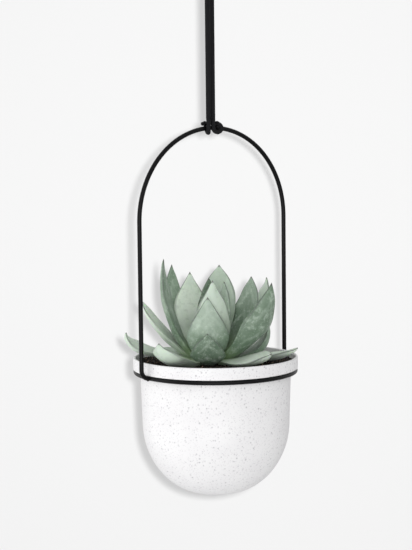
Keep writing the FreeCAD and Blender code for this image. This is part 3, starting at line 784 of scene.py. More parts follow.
@dataclass
class CordWork:
    """The doubled cord and the two knots that it makes over the arch."""

    layout: Layout
    width: float = 4.0 * MM
    length: float = 253.6 * MM
    step: float = 0.36 * MM
    around: int = 48
    picks: float = 8.0
    pick_length: float = 2.1 * MM
    relief: float = 0.16 * MM
    ridge_power: float = 0.6
    ease_widths: float = 2.0
    knot_squeeze: float = 0.20 * MM
    tail_squeeze: float = 0.35 * MM
    tail_from: float = 0.78
    tail_full: float = 0.88
    line_order: int = 3
    line_steps: int = 24
    yarn: BraidYarn = field(default_factory=BraidYarn)
    # From the left knot, round the hook's saddle and down to the right knot, in millimetres
    route: Route = (
        (-2.55, 0.00, -149.37),
        (-3.66, -1.40, -51.60),
        (-3.93, -1.75, -27.59),
        (-1.63, -0.72, -25.07),
        (1.63, 0.72, -25.07),
        (3.93, 1.75, -27.59),
        (3.66, 1.40, -51.60),
        (2.55, 0.00, -149.37),
    )
    # The left end, from its strand's foot: down the front of the wire, round under it, up behind and
    # out over it as a short free tail. Millimetres, the height from the wire's centre
    hitch_route: Route = (
        (-2.55, 0.0, 8.0),
        (-3.1, -1.3, 5.8),
        (-5.3, -4.2, 3.0),
        (-6.3, -4.9, -0.6),
        (-5.2, -3.6, -3.9),
        (-3.0, -0.2, -4.5),
        (-1.7, 3.2, -3.6),
        (-1.7, 4.7, -0.2),
        (-2.8, 4.2, 3.2),
        (-4.7, 2.6, 4.6),
        (-6.9, 0.2, 4.3),
        (-10.3, -0.9, 3.5),
    )
    # The right end: down the front into a round coil that faces the front, then over the wire, down
    # behind it and under, with the end tucked in behind the coil
    knot_route: Route = (
        (2.55, 0.0, 8.0),
        (1.4, -1.8, 5.8),
        (-0.6, -4.4, 2.9),
        (-1.6, -5.8, -0.3),
        (-0.5, -6.1, -3.05),
        (2.8, -6.2, -4.1),
        (6.3, -6.1, -3.05),
        (7.9, -6.0, -0.3),
        (6.7, -5.7, 2.3),
        (4.9, -4.4, 3.6),
        (6.4, -0.6, 4.5),
        (8.6, 3.4, 3.4),
        (9.9, 4.7, -0.4),
        (9.5, 2.8, -3.7),
        (7.8, -0.6, -4.2),
        (5.8, -2.9, -3.2),
    )

    def spline(self, name: str, points: Sequence[Vector]) -> bpy.types.Object:
        """A smooth open curve with the given control points.

        Args:
            name: The curve's name.
            points: Control points in metres.

        Returns:
            The curve's object.
        """
        curve = bpy.data.curves.new(name, "CURVE")
        curve.dimensions = "3D"
        curve.resolution_u = self.line_steps
        line = curve.splines.new("NURBS")
        line.points.add(len(points) - 1)
        for point, place in zip(line.points, points):
            point.co = (*place, 1.0)
        line.order_u = self.line_order
        line.use_endpoint_u = True
        return linked(name, curve)

    def line_points(self, source: bpy.types.Object) -> list[Vector]:
        """The points that a curve runs through, as Blender evaluates it.

        Args:
            source: A curve with no bevel.

        Returns:
            The points in metres.
        """
        graph = bpy.context.evaluated_depsgraph_get()
        mesh = bpy.data.meshes.new_from_object(source.evaluated_get(graph))
        points = [vertex.co.copy() for vertex in mesh.vertices]
        bpy.data.meshes.remove(mesh)
        return points

    def braid_tree(self, name: str, material: bpy.types.Material, pulled: float = 0.0,
                   end_pulled: float = 0.0) -> GeometryTree:
        """A tree that turns a curve into a braided tube.

        Args:
            name: The tree's name.
            material: The yarn.
            pulled: How much thinner its radius gets past its start, in metres.
            end_pulled: How much thinner still its free end is, in metres.

        Returns:
            The tree.
        """
        tree = GeometryTree(name)
        radius = tree.size("Radius", self.width / 2 + self.relief / 2)
        step = tree.size("Step", self.step)
        around = tree.size("Around", self.around, "NodeSocketInt")
        picks = tree.size("Picks around", self.picks)
        pick_length = tree.size("Pick length", self.pick_length)
        relief = tree.size("Relief", self.relief)
        squeeze = tree.size("Squeeze", pulled)
        ease = tree.size("Ease", self.width * self.ease_widths)
        end_squeeze = tree.size("End squeeze", end_pulled)
        even = tree.add("GeometryNodeResampleCurve", {
            "Curve": tree.entry.outputs[0], "Length": tree.given(step)}, mode="LENGTH")
        run = tree.add("GeometryNodeCaptureAttribute", domain="POINT")
        run.capture_items.new("FLOAT", "Run")
        run.capture_items.new("FLOAT", "Share")
        tree.feed(run.inputs[0], even)
        place = tree.add("GeometryNodeSplineParameter")
        tree.feed(run.inputs["Run"], place.outputs["Length"])
        tree.feed(run.inputs["Share"], place.outputs["Factor"])
        circle = tree.add("GeometryNodeCurvePrimitiveCircle", {
            "Resolution": tree.given(around), "Radius": tree.given(radius)})
        turn = tree.add("GeometryNodeCaptureAttribute", domain="POINT")
        turn.capture_items.new("FLOAT", "Turn")
        tree.feed(turn.inputs[0], circle.outputs[0])
        tree.feed(turn.inputs["Turn"], tree.add("GeometryNodeSplineParameter").outputs["Factor"])
        tube = tree.add("GeometryNodeCurveToMesh", {
            "Curve": run.outputs[0], "Profile Curve": turn.outputs[0], "Fill Caps": True})
        turns = tree.maths("MULTIPLY", turn.outputs["Turn"], tree.given(picks))
        runs = tree.maths("DIVIDE", run.outputs["Run"], tree.given(pick_length))
        first = tree.maths("ADD", turns, runs)
        second = tree.maths("SUBTRACT", turns, runs)
        cells = tree.maths("ADD", tree.maths("FLOOR", first), tree.maths("FLOOR", second))
        over = tree.maths("GREATER_THAN", tree.maths("FLOORED_MODULO", cells, 2.0), 0.5)
        ridges = [tree.maths("ABSOLUTE", tree.maths("SINE", tree.maths("MULTIPLY", strand, math.pi)))
                  for strand in (first, second)]
        chosen = tree.add("ShaderNodeMix", {0: over, 2: ridges[0], 3: ridges[1]}, data_type="FLOAT")
        weave = tree.maths("POWER", chosen.outputs[0], self.ridge_power)
        lift = tree.maths("MULTIPLY", tree.maths("SUBTRACT", weave, 0.5), tree.given(relief))
        eased = tree.span(run.outputs["Run"], 0.0, tree.given(ease), 0.0, tree.given(squeeze))
        ended = tree.span(run.outputs["Share"], self.tail_from, self.tail_full,
                          0.0, tree.given(end_squeeze))
        lift = tree.maths("SUBTRACT", lift, tree.maths("ADD", eased, ended))
        out = tree.add("ShaderNodeVectorMath", {
            0: tree.add("GeometryNodeInputNormal").outputs[0], "Scale": lift}, operation="SCALE")
        woven = tree.add("GeometryNodeSetPosition", {"Geometry": tube, "Offset": out.outputs[0]})
        kept = tree.add("GeometryNodeStoreNamedAttribute", {
            "Geometry": woven, "Name": "weave", "Value": weave}, data_type="FLOAT", domain="POINT")
        smooth = tree.add("GeometryNodeSetShadeSmooth", {"Geometry": kept})
        tree.close(smooth, material)
        return tree

    def knot(self, name: str, route: Route, tree: GeometryTree) -> bpy.types.Object:
        """One of the cord's knotted ends.

        Args:
            name: The node that it replaces.
            route: Its control points in millimetres, the height from the arch's centreline.
            tree: The braid.

        Returns:
            The piece.
        """
        top = self.layout.arch_top
        points = [Vector((x * MM, y * MM, z * MM + top)) for x, y, z in route]
        piece = tree.plain(name + "_braid", self.spline(name + "_line", points))
        placed(piece, Body.CORD, name)
        return piece

    def build(self) -> None:
        """Builds the cord and its two knots."""
        material = self.yarn.material()
        tree = self.braid_tree("cord_braid", material)
        hitch_tree = self.braid_tree("hitch_braid", material, self.knot_squeeze, self.tail_squeeze)
        knot_tree = self.braid_tree("knot_braid", material, self.knot_squeeze)
        knots = [self.knot("left_hitch", self.hitch_route, hitch_tree),
                 self.knot("right_knot", self.knot_route, knot_tree)]
        line = self.spline("cord_line", [Vector(point) * MM for point in self.route])
        path = self.line_points(line)
        cord = tree.plain("hanging_cord", line)
        placed(cord, Body.CORD, "cord")


def rising(value: np.ndarray, start: float, run: float) -> np.ndarray:
    """Goes from 0 at the start to 1 at the end of the run, and stays between them."""
    return np.clip((value - start) / run, 0.0, 1.0)


@dataclass(frozen=True)
class Wave:
    """A gentle wave in a leaf: how many run along it, its lag at the edges in radians, its strength."""

    count: float
    lag: float = 0.0
    strength: float = 1.0


@dataclass(frozen=True)
class Leaf:
    """One leaf: bearing in degrees from +X, then shares of the plant's reach and rise for its root,
    bend point and tip, shares of the leaf width and thickness, its turn in degrees about its midrib,
    where it is widest, how pale it is (partly its own colour, partly painted light and shade for how lit
    it stands), and how much paler still its upper half is."""

    name: str
    bearing: float
    curve: tuple[float, float, float, float, float, float]
    width: float
    thickness: float
    turn: float
    widest: float
    tone: float
    frost: float


@dataclass
class Succulent:
    """The rosette of leaves and its short stem."""

    layout: Layout
    skin: LeafSkin = field(default_factory=LeafSkin)
    wall: float = 2.4 * MM
    crown_left: float = 6.6 * MM
    crown_back: float = 1.2 * MM
    lift: float = 5.9 * MM
    rise: float = 90.0 * MM
    leaf_width: float = 36.0 * MM
    leaf_thickness: float = 6.0 * MM
    reach_share: float = 1.102
    root_width_share: float = 0.45
    root_thick_share: float = 0.875
    tip_taper: float = 1.75
    tip_pinch: float = 0.30
    pinch_from: float = 0.55
    pinch_run: float = 0.45
    upper_share: float = 0.20
    lower_share: float = 0.80
    edge_lift_share: float = 0.10
    edge_round: float = 0.32 * MM
    edge_round_share: float = 0.75
    blade_share: float = 0.994
    spine_radius: float = 0.38 * MM
    spine_share: float = 0.05
    spine_power: float = 0.8
    keel_depth: float = 0.55 * MM
    keel_width_share: float = 0.22
    keel_from: float = 0.35
    keel_run: float = 0.50
    sway: float = 0.40 * MM
    edge_sway_share: float = 0.8
    still_root_share: float = 0.15
    still_tip_share: float = 0.10
    skin_waves: tuple[Wave, ...] = (Wave(1.2, 0.9), Wave(2.7, -1.7, 0.6))
    edge_waves: tuple[Wave, ...] = (Wave(2.1), Wave(4.3, strength=0.5))
    tip_from: float = 0.9
    rows: int = 46
    tip_rows: int = 16
    around: int = 32
    seed: int = 7
    leaves: tuple[Leaf, ...] = (
        Leaf("leaf_heart_front", -105, (0.06, 0.05, 0.17, 0.29, 0.13, 0.780), 1.00, 0.9, 0, 0.45, 0.80, 0.35),
        Leaf("leaf_heart_right", -6, (0.06, 0.03, 0.27, 0.40, 0.21, 0.745), 0.67, 0.8, 0, 0.55, 0.34, 0.35),
        Leaf("leaf_heart_back", 50, (0.06, 0.02, 0.23, 0.33, 0.15, 0.785), 0.61, 0.8, 0, 0.55, 0.02, 0.00),
        Leaf("leaf_front_kite", -129, (0.14, 0.00, 0.33, 0.13, 0.19, 0.615), 1.03, 1.0, 0, 0.50, 0.24, 0.46),
        Leaf("leaf_back_tall", 38, (0.12, 0.02, 0.53, 0.47, 0.50, 0.890), 0.96, 1.0, 0, 0.55, 0.66, 0.25),
        Leaf("leaf_left_broad", 80, (0.14, 0.01, 0.57, 0.34, 0.46, 0.825), 0.94, 1.0, 0, 0.55, 1.00, 0.10),
        Leaf("leaf_right_mid", -11, (0.14, 0.01, 0.60, 0.41, 0.55, 0.785), 0.89, 1.0, 11, 0.55, 0.17, 0.24),
        Leaf("leaf_left_thin", 94, (0.15, -0.01, 0.73, 0.36, 0.64, 0.900), 0.66, 0.9, 0, 0.55, 0.38, 0.00),
        Leaf("leaf_left_tall", 140, (0.15, -0.01, 0.53, 0.37, 0.50, 0.990), 0.77, 1.0, -7, 0.55, 0.24, 0.00),
        Leaf("leaf_right_tall", -59, (0.15, -0.01, 0.66, 0.17, 0.765, 0.765),
             1.01, 1.0, -23, 0.55, 0.13, 0.00),
        Leaf("leaf_right_back", -13, (0.15, -0.02, 0.76, 0.41, 0.735, 0.770), 0.78, 0.9, 0, 0.55, 0.85, 0.30),
        Leaf("leaf_front_cup", -129, (0.15, -0.04, 0.43, 0.00, 0.375, 0.270), 0.86, 1.0, 0, 0.45, 0.00, 0.02),
        Leaf("leaf_right_low_back", -31, (0.15, -0.03, 0.73, -0.02, 0.65, 0.365),
             0.83, 1.0, 0, 0.55, 0.30, 0.00),
        Leaf("leaf_left_arm", 131, (0.15, -0.03, 0.60, 0.23, 0.785, 0.560), 0.73, 0.9, 1, 0.55, 1.00, 0.15),
        Leaf("leaf_back_arm", 62, (0.15, -0.03, 0.62, 0.06, 0.77, 0.330), 0.83, 0.9, 0, 0.55, 0.60, 0.00),
        Leaf("leaf_left_low", 145, (0.15, -0.04, 0.94, 0.06, 0.935, 0.250), 0.73, 0.9, -6, 0.55, 0.80, 0.10),
        Leaf("leaf_front_left_low", -166, (0.15, -0.04, 0.82, -0.02, 0.865, 0.215),
             0.86, 1.0, 2, 0.55, 0.78, 0.35),
        Leaf("leaf_front_right_low", -77, (0.15, -0.04, 0.71, -0.01, 0.90, 0.085),
             0.86, 1.0, 14, 0.55, 0.85, 0.30),
        Leaf("leaf_right_low", -43, (0.15, -0.04, 0.79, -0.02, 1.015, 0.085),
             0.72, 0.9, -3, 0.55, 0.95, 0.30),
        Leaf("leaf_right_shade", 4, (0.15, -0.03, 0.45, 0.01, 0.775, 0.010), 0.67, 0.8, 0, 0.55, 0.35, 0.00),
        Leaf("leaf_back_right_low", 27, (0.15, -0.03, 0.69, 0.00, 0.85, 0.110),
             0.78, 0.9, 0, 0.55, 0.60, 0.00),
        Leaf("leaf_back_left_low", 98, (0.15, -0.03, 0.62, 0.01, 0.72, 0.020),
             0.72, 0.9, 0, 0.55, 0.60, 0.00),
    )

    def midrib(self, leaf: Leaf) -> tuple[np.ndarray, np.ndarray, np.ndarray, np.ndarray]:
        """A leaf's root, bend point and tip, and the direction across it.

        Args:
            leaf: The leaf.

        Returns:
            Three points in metres and a direction.
        """
        bearing = math.radians(leaf.bearing)
        out = np.array([math.cos(bearing), math.sin(bearing), 0.0])
        centre = np.array([self.layout.axis_x - self.crown_left, self.crown_back,
                           self.layout.soil_top + self.lift])
        reach = self.reach_share * (self.layout.collar_radius - self.wall)
        up = np.array([0.0, 0.0, 1.0])
        root, bend, tip = (
            centre + out * leaf.curve[k] * reach + up * leaf.curve[k + 1] * self.rise for k in (0, 2, 4))
        return root, bend, tip, np.array([-out[1], out[0], 0.0])

    def blade(self, leaf: Leaf, share: np.ndarray) -> tuple[np.ndarray, np.ndarray]:
        """How wide and how thick a leaf is along its length.

        Args:
            leaf: The leaf.
            share: Shares of its length.

        Returns:
            Shares of its widest and of its thickest.
        """
        eased = np.minimum(share / self.blade_share, 1.0)
        low = rising(eased, 0.0, leaf.widest)
        high = rising(eased, leaf.widest, 1 - leaf.widest)
        pinch = self.tip_pinch * rising(high, self.pinch_from, self.pinch_run) ** 2
        taper = (1 - high ** self.tip_taper) * (1 - pinch)
        wide = (self.root_width_share + (1 - self.root_width_share) * np.sin(math.pi / 2 * low)) * taper
        deep = (1 - (1 - self.root_thick_share) * (1 - low) ** 2) * taper
        return wide, deep

    def section(self, leaf: Leaf, s: np.ndarray, u: np.ndarray,
                v: np.ndarray) -> tuple[np.ndarray, np.ndarray]:
        """The form of a leaf's cross-sections.

        Args:
            leaf: The leaf.
            s: Shares of its length, one for each row of points.
            u: Shares of its half width, one for each point round a row.
            v: Above 0 on its upper side and below 0 on its underside, for the same points.

        Returns:
            Its half widths, and how high its skin stands over its midrib, in metres.
        """
        wide, deep = self.blade(leaf, s)
        half = leaf.width * self.leaf_width / 2
        thick = leaf.thickness * self.leaf_thickness
        spine = self.spine_radius * rising(1 - s, 0.0, self.spine_share) ** self.spine_power
        half_here = half * wide + spine
        edge = self.edge_lift_share * half * wide
        crest = self.upper_share * thick * deep
        keel = self.lower_share * thick * deep
        high = crest + (edge - crest) * u ** 2
        low = -keel + (edge + keel) * u ** 2
        ridge = self.keel_depth * np.exp(-(u / self.keel_width_share) ** 2)
        low = low - ridge * rising(s, self.keel_from, self.keel_run) * deep
        rounding = np.minimum(self.edge_round + spine, self.edge_round_share * half_here) * np.abs(v)
        return half_here, np.where(v >= 0, high + rounding, low - rounding)

    def unevenness(self, s: np.ndarray, u: np.ndarray,
                   dice: random.Random) -> tuple[np.ndarray, np.ndarray]:
        """How a leaf departs from its plain form.

        Args:
            s: Shares of its length, one for each row of points.
            u: Shares of its half width, one for each point round a row.
            dice: The source of the waves' places.

        Returns:
            How far its edges stand out and how far its skin is raised, in metres.
        """
        skin, edges = (
            sum(wave.strength * np.sin(2 * math.pi * wave.count * s + wave.lag * u
                                       + dice.uniform(0, 2 * math.pi)) for wave in waves)
            for waves in (self.skin_waves, self.edge_waves))
        fade = (rising(s, 0.0, self.still_root_share)
                * rising(1 - s, 0.0, self.still_tip_share) * self.sway)
        return edges * np.sign(u) * u ** 2 * fade * self.edge_sway_share, skin * fade

    def shell_faces(self, rows: int) -> list[list[int]]:
        """The faces of a leaf: its rows of points, closed by a fan at the tip and one at the root.

        Args:
            rows: How many rows it has. The tip's point and the root's follow the last row.

        Returns:
            Point numbers of each face.
        """
        count = self.around
        pairs = [(k, (k + 1) % count) for k in range(count)]
        last, tip, root = (rows - 1) * count, rows * count, rows * count + 1
        faces = [[row + a, row + b, row + count + b, row + count + a]
                 for row in range(0, last, count) for a, b in pairs]
        faces += [[last + a, last + b, tip] for a, b in pairs]
        return faces + [[b, a, root] for a, b in pairs]

    def leaf(self, leaf: Leaf, material: bpy.types.Material, dice: random.Random) -> None:
        """Builds one leaf.

        Args:
            leaf: Its place and form.
            material: The skin.
            dice: The source of its small unevenness.
        """
        root, bend, tip, side = self.midrib(leaf)
        share = np.concatenate([np.linspace(0.0, self.tip_from, self.rows, endpoint=False),
                                np.linspace(self.tip_from, 1.0, self.tip_rows)])
        s = share[:, None]
        angle = np.linspace(0, 2 * math.pi, self.around, endpoint=False)
        u, v = np.cos(angle)[None, :], np.sin(angle)[None, :]
        middle = root * (1 - s) ** 2 + bend * (2 * s * (1 - s)) + tip * s ** 2
        along = (bend - root) * (1 - s) + (tip - bend) * s
        along /= np.linalg.norm(along, axis=1)[:, None]
        flat = np.cross(along, side)
        twist = np.radians(leaf.turn) * np.minimum(1, 2 * s)
        across = side * np.cos(twist) + flat * np.sin(twist)
        upper = flat * np.cos(twist) - side * np.sin(twist)
        half, height = self.section(leaf, s, u, v)
        out, raised = self.unevenness(s, u, dice)
        places = (middle[:, None, :]
                  + across[:, None, :] * (half * u + out)[:, :, None]
                  + upper[:, None, :] * (height + raised)[:, :, None])
        # The last row has shrunk to the tip, so the tip's one point stands for it
        rows = len(share) - 1
        points = np.vstack([places[:-1].reshape(-1, 3), tip[None, :], root[None, :]])
        mesh = smooth_mesh(leaf.name + "_blade", points, self.shell_faces(rows))
        for name, values, ends in (
                ("along", share[:-1, None], (1.0, 0.0)),
                ("across", u, (0.0, 0.0)),
                ("under", v < 0, (0.0, 0.0)),
                ("tone", leaf.tone, (leaf.tone, leaf.tone)),
                ("frost", leaf.frost, (leaf.frost, leaf.frost))):
            spread = np.broadcast_to(values, (rows, self.around)).reshape(-1)
            store(mesh, name, np.concatenate([spread, ends]))
        piece = finished(linked(leaf.name + "_blade", mesh), material)
        placed(piece, Body.POT, leaf.name)

    def build(self) -> None:
        """Builds every leaf and dresses the stem."""
        material = self.skin.material()
        dice = random.Random(self.seed)
        for leaf in self.leaves:
            self.leaf(leaf, material, dice)
        dress("plant_stem", material)


@dataclass
class Soil:
    """The soil's uneven top with loose crumbs and bits of bark."""

    layout: Layout
    compost: DarkCompost = field(default_factory=DarkCompost)
    depth: float = 10.0 * MM
    foot_inset: float = 9.0 * MM
    rings: int = 60
    around: int = 180
    bump: float = 0.9 * MM
    lump_scale: float = 160.0
    lump_fade: float = 1.0
    lump_step: float = 2.0
    lump_octaves: int = 4
    lump_middle: float = 0.4
    crumbs: int = 3600
    crumb_size: float = 1.5 * MM
    slimmest: tuple[float, float, float] = (0.45, 0.35, 0.30)
    fullest: tuple[float, float, float] = (1.7, 1.0, 0.9)
    full_turn: float = 6.28
    top_from: float = 0.5
    seed: int = 11

    def bed(self) -> bpy.types.Object:
        """The closed bed of soil under the crumbs.

        Returns:
            The bed's object.
        """
        centre = Vector((self.layout.axis_x, 0.0, self.layout.soil_top))
        points = []
        for ring in range(self.rings):
            radius = self.layout.soil_radius * (ring + 1) / self.rings
            for k in range(self.around):
                angle = 2 * math.pi * k / self.around
                place = Vector((math.cos(angle) * radius, math.sin(angle) * radius, 0.0))
                lump = noise.fractal(place * self.lump_scale, self.lump_fade, self.lump_step,
                                     self.lump_octaves)
                points.append(centre + place + Vector((0, 0, self.bump * (lump - self.lump_middle))))
        rim = (self.rings - 1) * self.around
        faces = []
        for ring in range(self.rings - 1):
            for k in range(self.around):
                a, b = ring * self.around + k, ring * self.around + (k + 1) % self.around
                faces.append([a, a + self.around, b + self.around, b])
        low = len(points)
        foot = 1 - self.foot_inset / self.layout.soil_radius
        for k in range(self.around):
            away = points[rim + k] - centre
            points.append(centre + Vector((away.x * foot, away.y * foot, -self.depth)))
        faces += [[rim + k, low + k, low + (k + 1) % self.around, rim + (k + 1) % self.around]
                  for k in range(self.around)]
        top, bottom = len(points), len(points) + 1
        points += [centre, centre - Vector((0, 0, self.depth))]
        faces += [[k, (k + 1) % self.around, top] for k in range(self.around)]
        faces += [[low + (k + 1) % self.around, low + k, bottom] for k in range(self.around)]
        mesh = smooth_mesh("soil_bed", np.array([list(p) for p in points]), faces)
        return linked("soil_bed", mesh)

    def crumb_tree(self, material: bpy.types.Material) -> GeometryTree:
        """A tree that scatters crumbs on the bed's top.

        Args:
            material: The soil's finish.

        Returns:
            The tree.
        """
        tree = GeometryTree("soil_crumbs")
        area = math.pi * self.layout.soil_radius ** 2
        density = tree.size("Crumbs per square metre", self.crumbs / area)
        scale = tree.size("Crumb size", self.crumb_size)
        seed = tree.size("Seed", self.seed, "NodeSocketInt")
        normal = tree.add("GeometryNodeInputNormal")
        upright = tree.add("ShaderNodeSeparateXYZ", {0: normal}).outputs["Z"]
        on_top = tree.maths("GREATER_THAN", upright, self.top_from)
        spread = tree.add("GeometryNodeDistributePointsOnFaces", {
            "Mesh": tree.entry.outputs[0], "Selection": on_top, "Density": tree.given(density),
            "Seed": tree.given(seed)}, distribute_method="RANDOM")
        # A ball one across, so that its scale is the crumb's size
        ball = tree.add("GeometryNodeMeshIcoSphere", {"Radius": 0.5, "Subdivisions": 1})
        turn = tree.add("FunctionNodeRandomValue", {
            0: (0.0, 0.0, 0.0), 1: (self.full_turn,) * 3, "Seed": tree.given(seed)},
            data_type="FLOAT_VECTOR")
        stretch = tree.add("FunctionNodeRandomValue", {
            0: self.slimmest, 1: self.fullest, "Seed": self.seed + 1},
            data_type="FLOAT_VECTOR")
        grown = tree.add("ShaderNodeVectorMath", {0: stretch.outputs[0], "Scale": tree.given(scale)},
                         operation="SCALE")
        strewn = tree.add("GeometryNodeInstanceOnPoints", {
            "Points": spread.outputs[0], "Instance": ball.outputs[0],
            "Rotation": turn.outputs[0], "Scale": grown.outputs[0]})
        roll = tree.add("FunctionNodeRandomValue", {"Seed": self.seed + 2}, data_type="FLOAT")
        marked = tree.add("GeometryNodeStoreNamedAttribute", {
            "Geometry": strewn.outputs[0], "Name": "crumb", "Value": roll.outputs[1]},
            data_type="FLOAT", domain="INSTANCE")
        joined = tree.add("GeometryNodeJoinGeometry", {0: tree.entry.outputs[0]})
        tree.feed(joined.inputs[0], marked)
        tree.close(joined, material)
        return tree

    def build(self) -> None:
        """Builds the soil."""
        material = self.compost.material()
        piece = self.crumb_tree(material).plain("potting_soil", self.bed())
        placed(piece, Body.POT, "soil")


@dataclass
class Studio:
    """The camera, the lamps, the backdrop and the floor."""

    layout: Layout
    camera_place: tuple[float, float, float] = (-0.8213, -1.0855, -0.1645)
    camera_aim: tuple[float, float, float] = (0.5975, 0.7966, -0.0918)
    camera_roll: float = math.radians(0.621)
    camera_lens: float = 98.75
    camera_near: float = 0.02
    camera_far: float = 50.0
    backdrop_gap: float = 0.30
    backdrop_top: float = 1.2
    backdrop_half: float = 2.0
    backdrop_glow: float = 0.420
    backdrop_paint: float = 0.30
    floor_level: float = -1.60
    floor_half: float = 12.0
    floor_glow: float = 0.38
    floor_paint: float = 0.82
    world_tone: float = 0.93
    world_light: float = 0.67
    key_power: float = 14.4
    key_place: tuple[float, float, float] = (-1.19, 0.89, 0.13)
    key_size: float = 2.6
    fill_power: float = 10.3
    fill_place: tuple[float, float, float] = (-0.90, -1.20, 0.0)
    fill_size: float = 1.3
    shade_power: float = 30.0
    shade_right: float = 0.035
    shade_up: float = 0.015
    shade_size: float = 0.038

    @property
    def view_axes(self) -> tuple[Vector, Vector, Vector]:
        """The camera's directions, before its roll.

        Returns:
            Forward, right and up.
        """
        forward = Vector(self.camera_aim).normalized()
        right = forward.cross(Vector((0, 0, 1))).normalized()
        return forward, right, right.cross(forward)

    def camera(self) -> None:
        """Makes the camera at the fitted place."""
        forward, right, up = self.view_axes
        cos, sin = math.cos(self.camera_roll), math.sin(self.camera_roll)
        level, tall = right * cos - up * sin, right * sin + up * cos
        data = bpy.data.cameras.new("camera")
        data.lens = self.camera_lens
        data.clip_start = self.camera_near
        data.clip_end = self.camera_far
        obj = linked("camera", data)
        turn = Matrix((level, tall, -forward)).transposed().to_4x4()
        obj.matrix_world = Matrix.Translation(Vector(self.camera_place)) @ turn
        bpy.context.scene.camera = obj

    def plane(self, name: str, centre: Vector, first: Vector, second: Vector) -> bpy.types.Object:
        """A flat rectangle.

        Args:
            name: Its name.
            centre: Its centre.
            first: Half of its width, as a direction.
            second: Half of its height, as a direction.

        Returns:
            The object.
        """
        rim = [centre - first - second, centre + first - second,
               centre + first + second, centre - first + second]
        mesh = bpy.data.meshes.new(name)
        mesh.from_pydata([list(point) for point in rim], [], [[0, 1, 2, 3]])
        mesh.update()
        obj = linked(name, mesh)
        return obj

    def pale_paint(self, shader: Shader, glow: float, paint: float) -> bpy.types.Node:
        """Matt paint that shows its shadows, and looks paler to the camera than to the object.

        Args:
            shader: The material's nodes.
            glow: How much paler it looks.
            paint: The grey of the paint.

        Returns:
            The paint's node.
        """
        seen = shader.add("ShaderNodeLightPath").outputs["Is Camera Ray"]
        light = shader.add("ShaderNodeEmission", {
            "Color": WHITE, "Strength": shader.maths("MULTIPLY", seen, glow)})
        matt = shader.add("ShaderNodeBsdfDiffuse", {"Color": (paint, paint, paint, 1.0)})
        return shader.add("ShaderNodeAddShader", {0: light, 1: matt})

    def backdrop_material(self) -> bpy.types.Material:
        """A pale wall that is clear from behind.

        Returns:
            The material.
        """
        shader = Shader("backdrop")
        front = self.pale_paint(shader, self.backdrop_glow, self.backdrop_paint)
        clear = shader.add("ShaderNodeBsdfTransparent")
        behind = shader.add("ShaderNodeNewGeometry").outputs["Backfacing"]
        both = shader.add("ShaderNodeMixShader", {0: behind, 1: front, 2: clear})
        shader.add("ShaderNodeOutputMaterial", {"Surface": both})
        return shader.material

    def backdrop(self) -> bpy.types.Object:
        """Makes the wall behind the planter.

        Returns:
            The wall.
        """
        forward, right, _ = self.view_axes
        level = Vector((forward.x, forward.y, 0)).normalized()
        middle = (self.backdrop_top + self.floor_level) / 2
        centre = Vector((self.layout.axis_x, 0, 0)) + level * self.backdrop_gap
        centre.z = middle
        wall = self.plane("backdrop", centre, right * self.backdrop_half,
                          Vector((0, 0, self.backdrop_top - middle)))
        finished(wall, self.backdrop_material())
        for ray in ("diffuse", "glossy", "transmission", "shadow", "volume_scatter"):
            setattr(wall, f"visible_{ray}", False)
        return wall

    def floor(self) -> None:
        """Makes the pale floor."""
        centre = Vector((self.layout.axis_x, 0, self.floor_level))
        floor = self.plane("floor", centre, Vector((self.floor_half, 0, 0)),
                           Vector((0, self.floor_half, 0)))
        shader = Shader("floor_paint")
        paint = self.pale_paint(shader, self.floor_glow, self.floor_paint)
        shader.add("ShaderNodeOutputMaterial", {"Surface": paint})
        finished(floor, shader.material)

    def lamp(self, name: str, place: Vector, aim: Vector, power: float,
             size: float) -> bpy.types.Object:
        """Makes a round area lamp.

        Args:
            name: Its name.
            place: Where it stands.
            aim: The point that it faces.
            power: Watts.
            size: Its width.

        Returns:
            The lamp.
        """
        data = bpy.data.lights.new(name, "AREA")
        data.shape = "DISK"
        data.size = size
        data.energy = power
        obj = linked(name, data)
        facing = (aim - place).to_track_quat("-Z", "Y").to_matrix().to_4x4()
        obj.matrix_world = Matrix.Translation(place) @ facing
        obj.visible_camera = False
        return obj

    def lamps(self, wall: bpy.types.Object) -> None:
        """Makes the lamps: a soft key and fill for the planter, and one that shades the wall alone.

        Args:
            wall: The backdrop.
        """
        aim = Vector((self.layout.axis_x, 0, self.layout.ring_level))
        only_wall = bpy.data.collections.new("wall_alone")
        only_wall.objects.link(wall)
        all_but_wall = bpy.data.collections.new("all_but_wall")
        all_but_wall.objects.link(wall)
        all_but_wall.collection_objects[0].light_linking.link_state = "EXCLUDE"
        for name, place, power, size in (
                ("key_lamp", self.key_place, self.key_power, self.key_size),
                ("fill_lamp", self.fill_place, self.fill_power, self.fill_size)):
            lamp = self.lamp(name, aim + Vector(place), aim, power, size)
            lamp.light_linking.receiver_collection = all_but_wall
        forward, right, up = self.view_axes
        place = Vector(self.camera_place) + right * self.shade_right + up * self.shade_up
        shade = self.lamp("wall_lamp", place, place + forward, self.shade_power, self.shade_size)
        shade.light_linking.receiver_collection = only_wall

    def world(self) -> None:
        """Lights the scene evenly, and shows pale where nothing stands."""
        world = bpy.data.worlds.new("studio")
        world.use_nodes = True
        bpy.context.scene.world = world
        graph = Graph(world.node_tree)
        graph.tree.nodes.clear()
        path = graph.add("ShaderNodeLightPath")
        seen = path.outputs["Is Camera Ray"]
        for ray in ("Is Glossy Ray", "Is Transmission Ray"):
            seen = graph.maths("MAXIMUM", seen, path.outputs[ray])
        strength = graph.span(seen, 0.0, 1.0, self.world_light, self.world_tone, smooth=False)
        light = graph.add("ShaderNodeBackground", {"Color": WHITE, "Strength": strength})
        graph.add("ShaderNodeOutputWorld", {"Surface": light})

    def build(self) -> None:
        """Builds the studio."""
        self.camera()
        wall = self.backdrop()
        self.floor()
        self.lamps(wall)
        self.world()
        bpy.context.scene.view_settings.view_transform = "Standard"


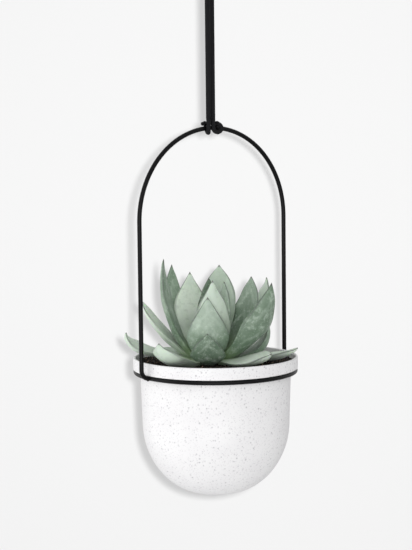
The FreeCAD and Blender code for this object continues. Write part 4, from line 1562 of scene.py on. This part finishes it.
def main() -> None:
    """Builds every piece in order."""
    logging.basicConfig(level=logging.INFO, format="%(name)s: %(message)s")
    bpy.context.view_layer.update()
    layout = Layout.measured()
    studio = Studio(layout)
    studio.build()
    for part in (CordWork(layout), CeilingHook(), WireFrame(), Pot(), Soil(layout), Succulent(layout)):
        part.build()
        LOG.info("%s is built", type(part).__name__)


if __name__ == "__main__":
    main()
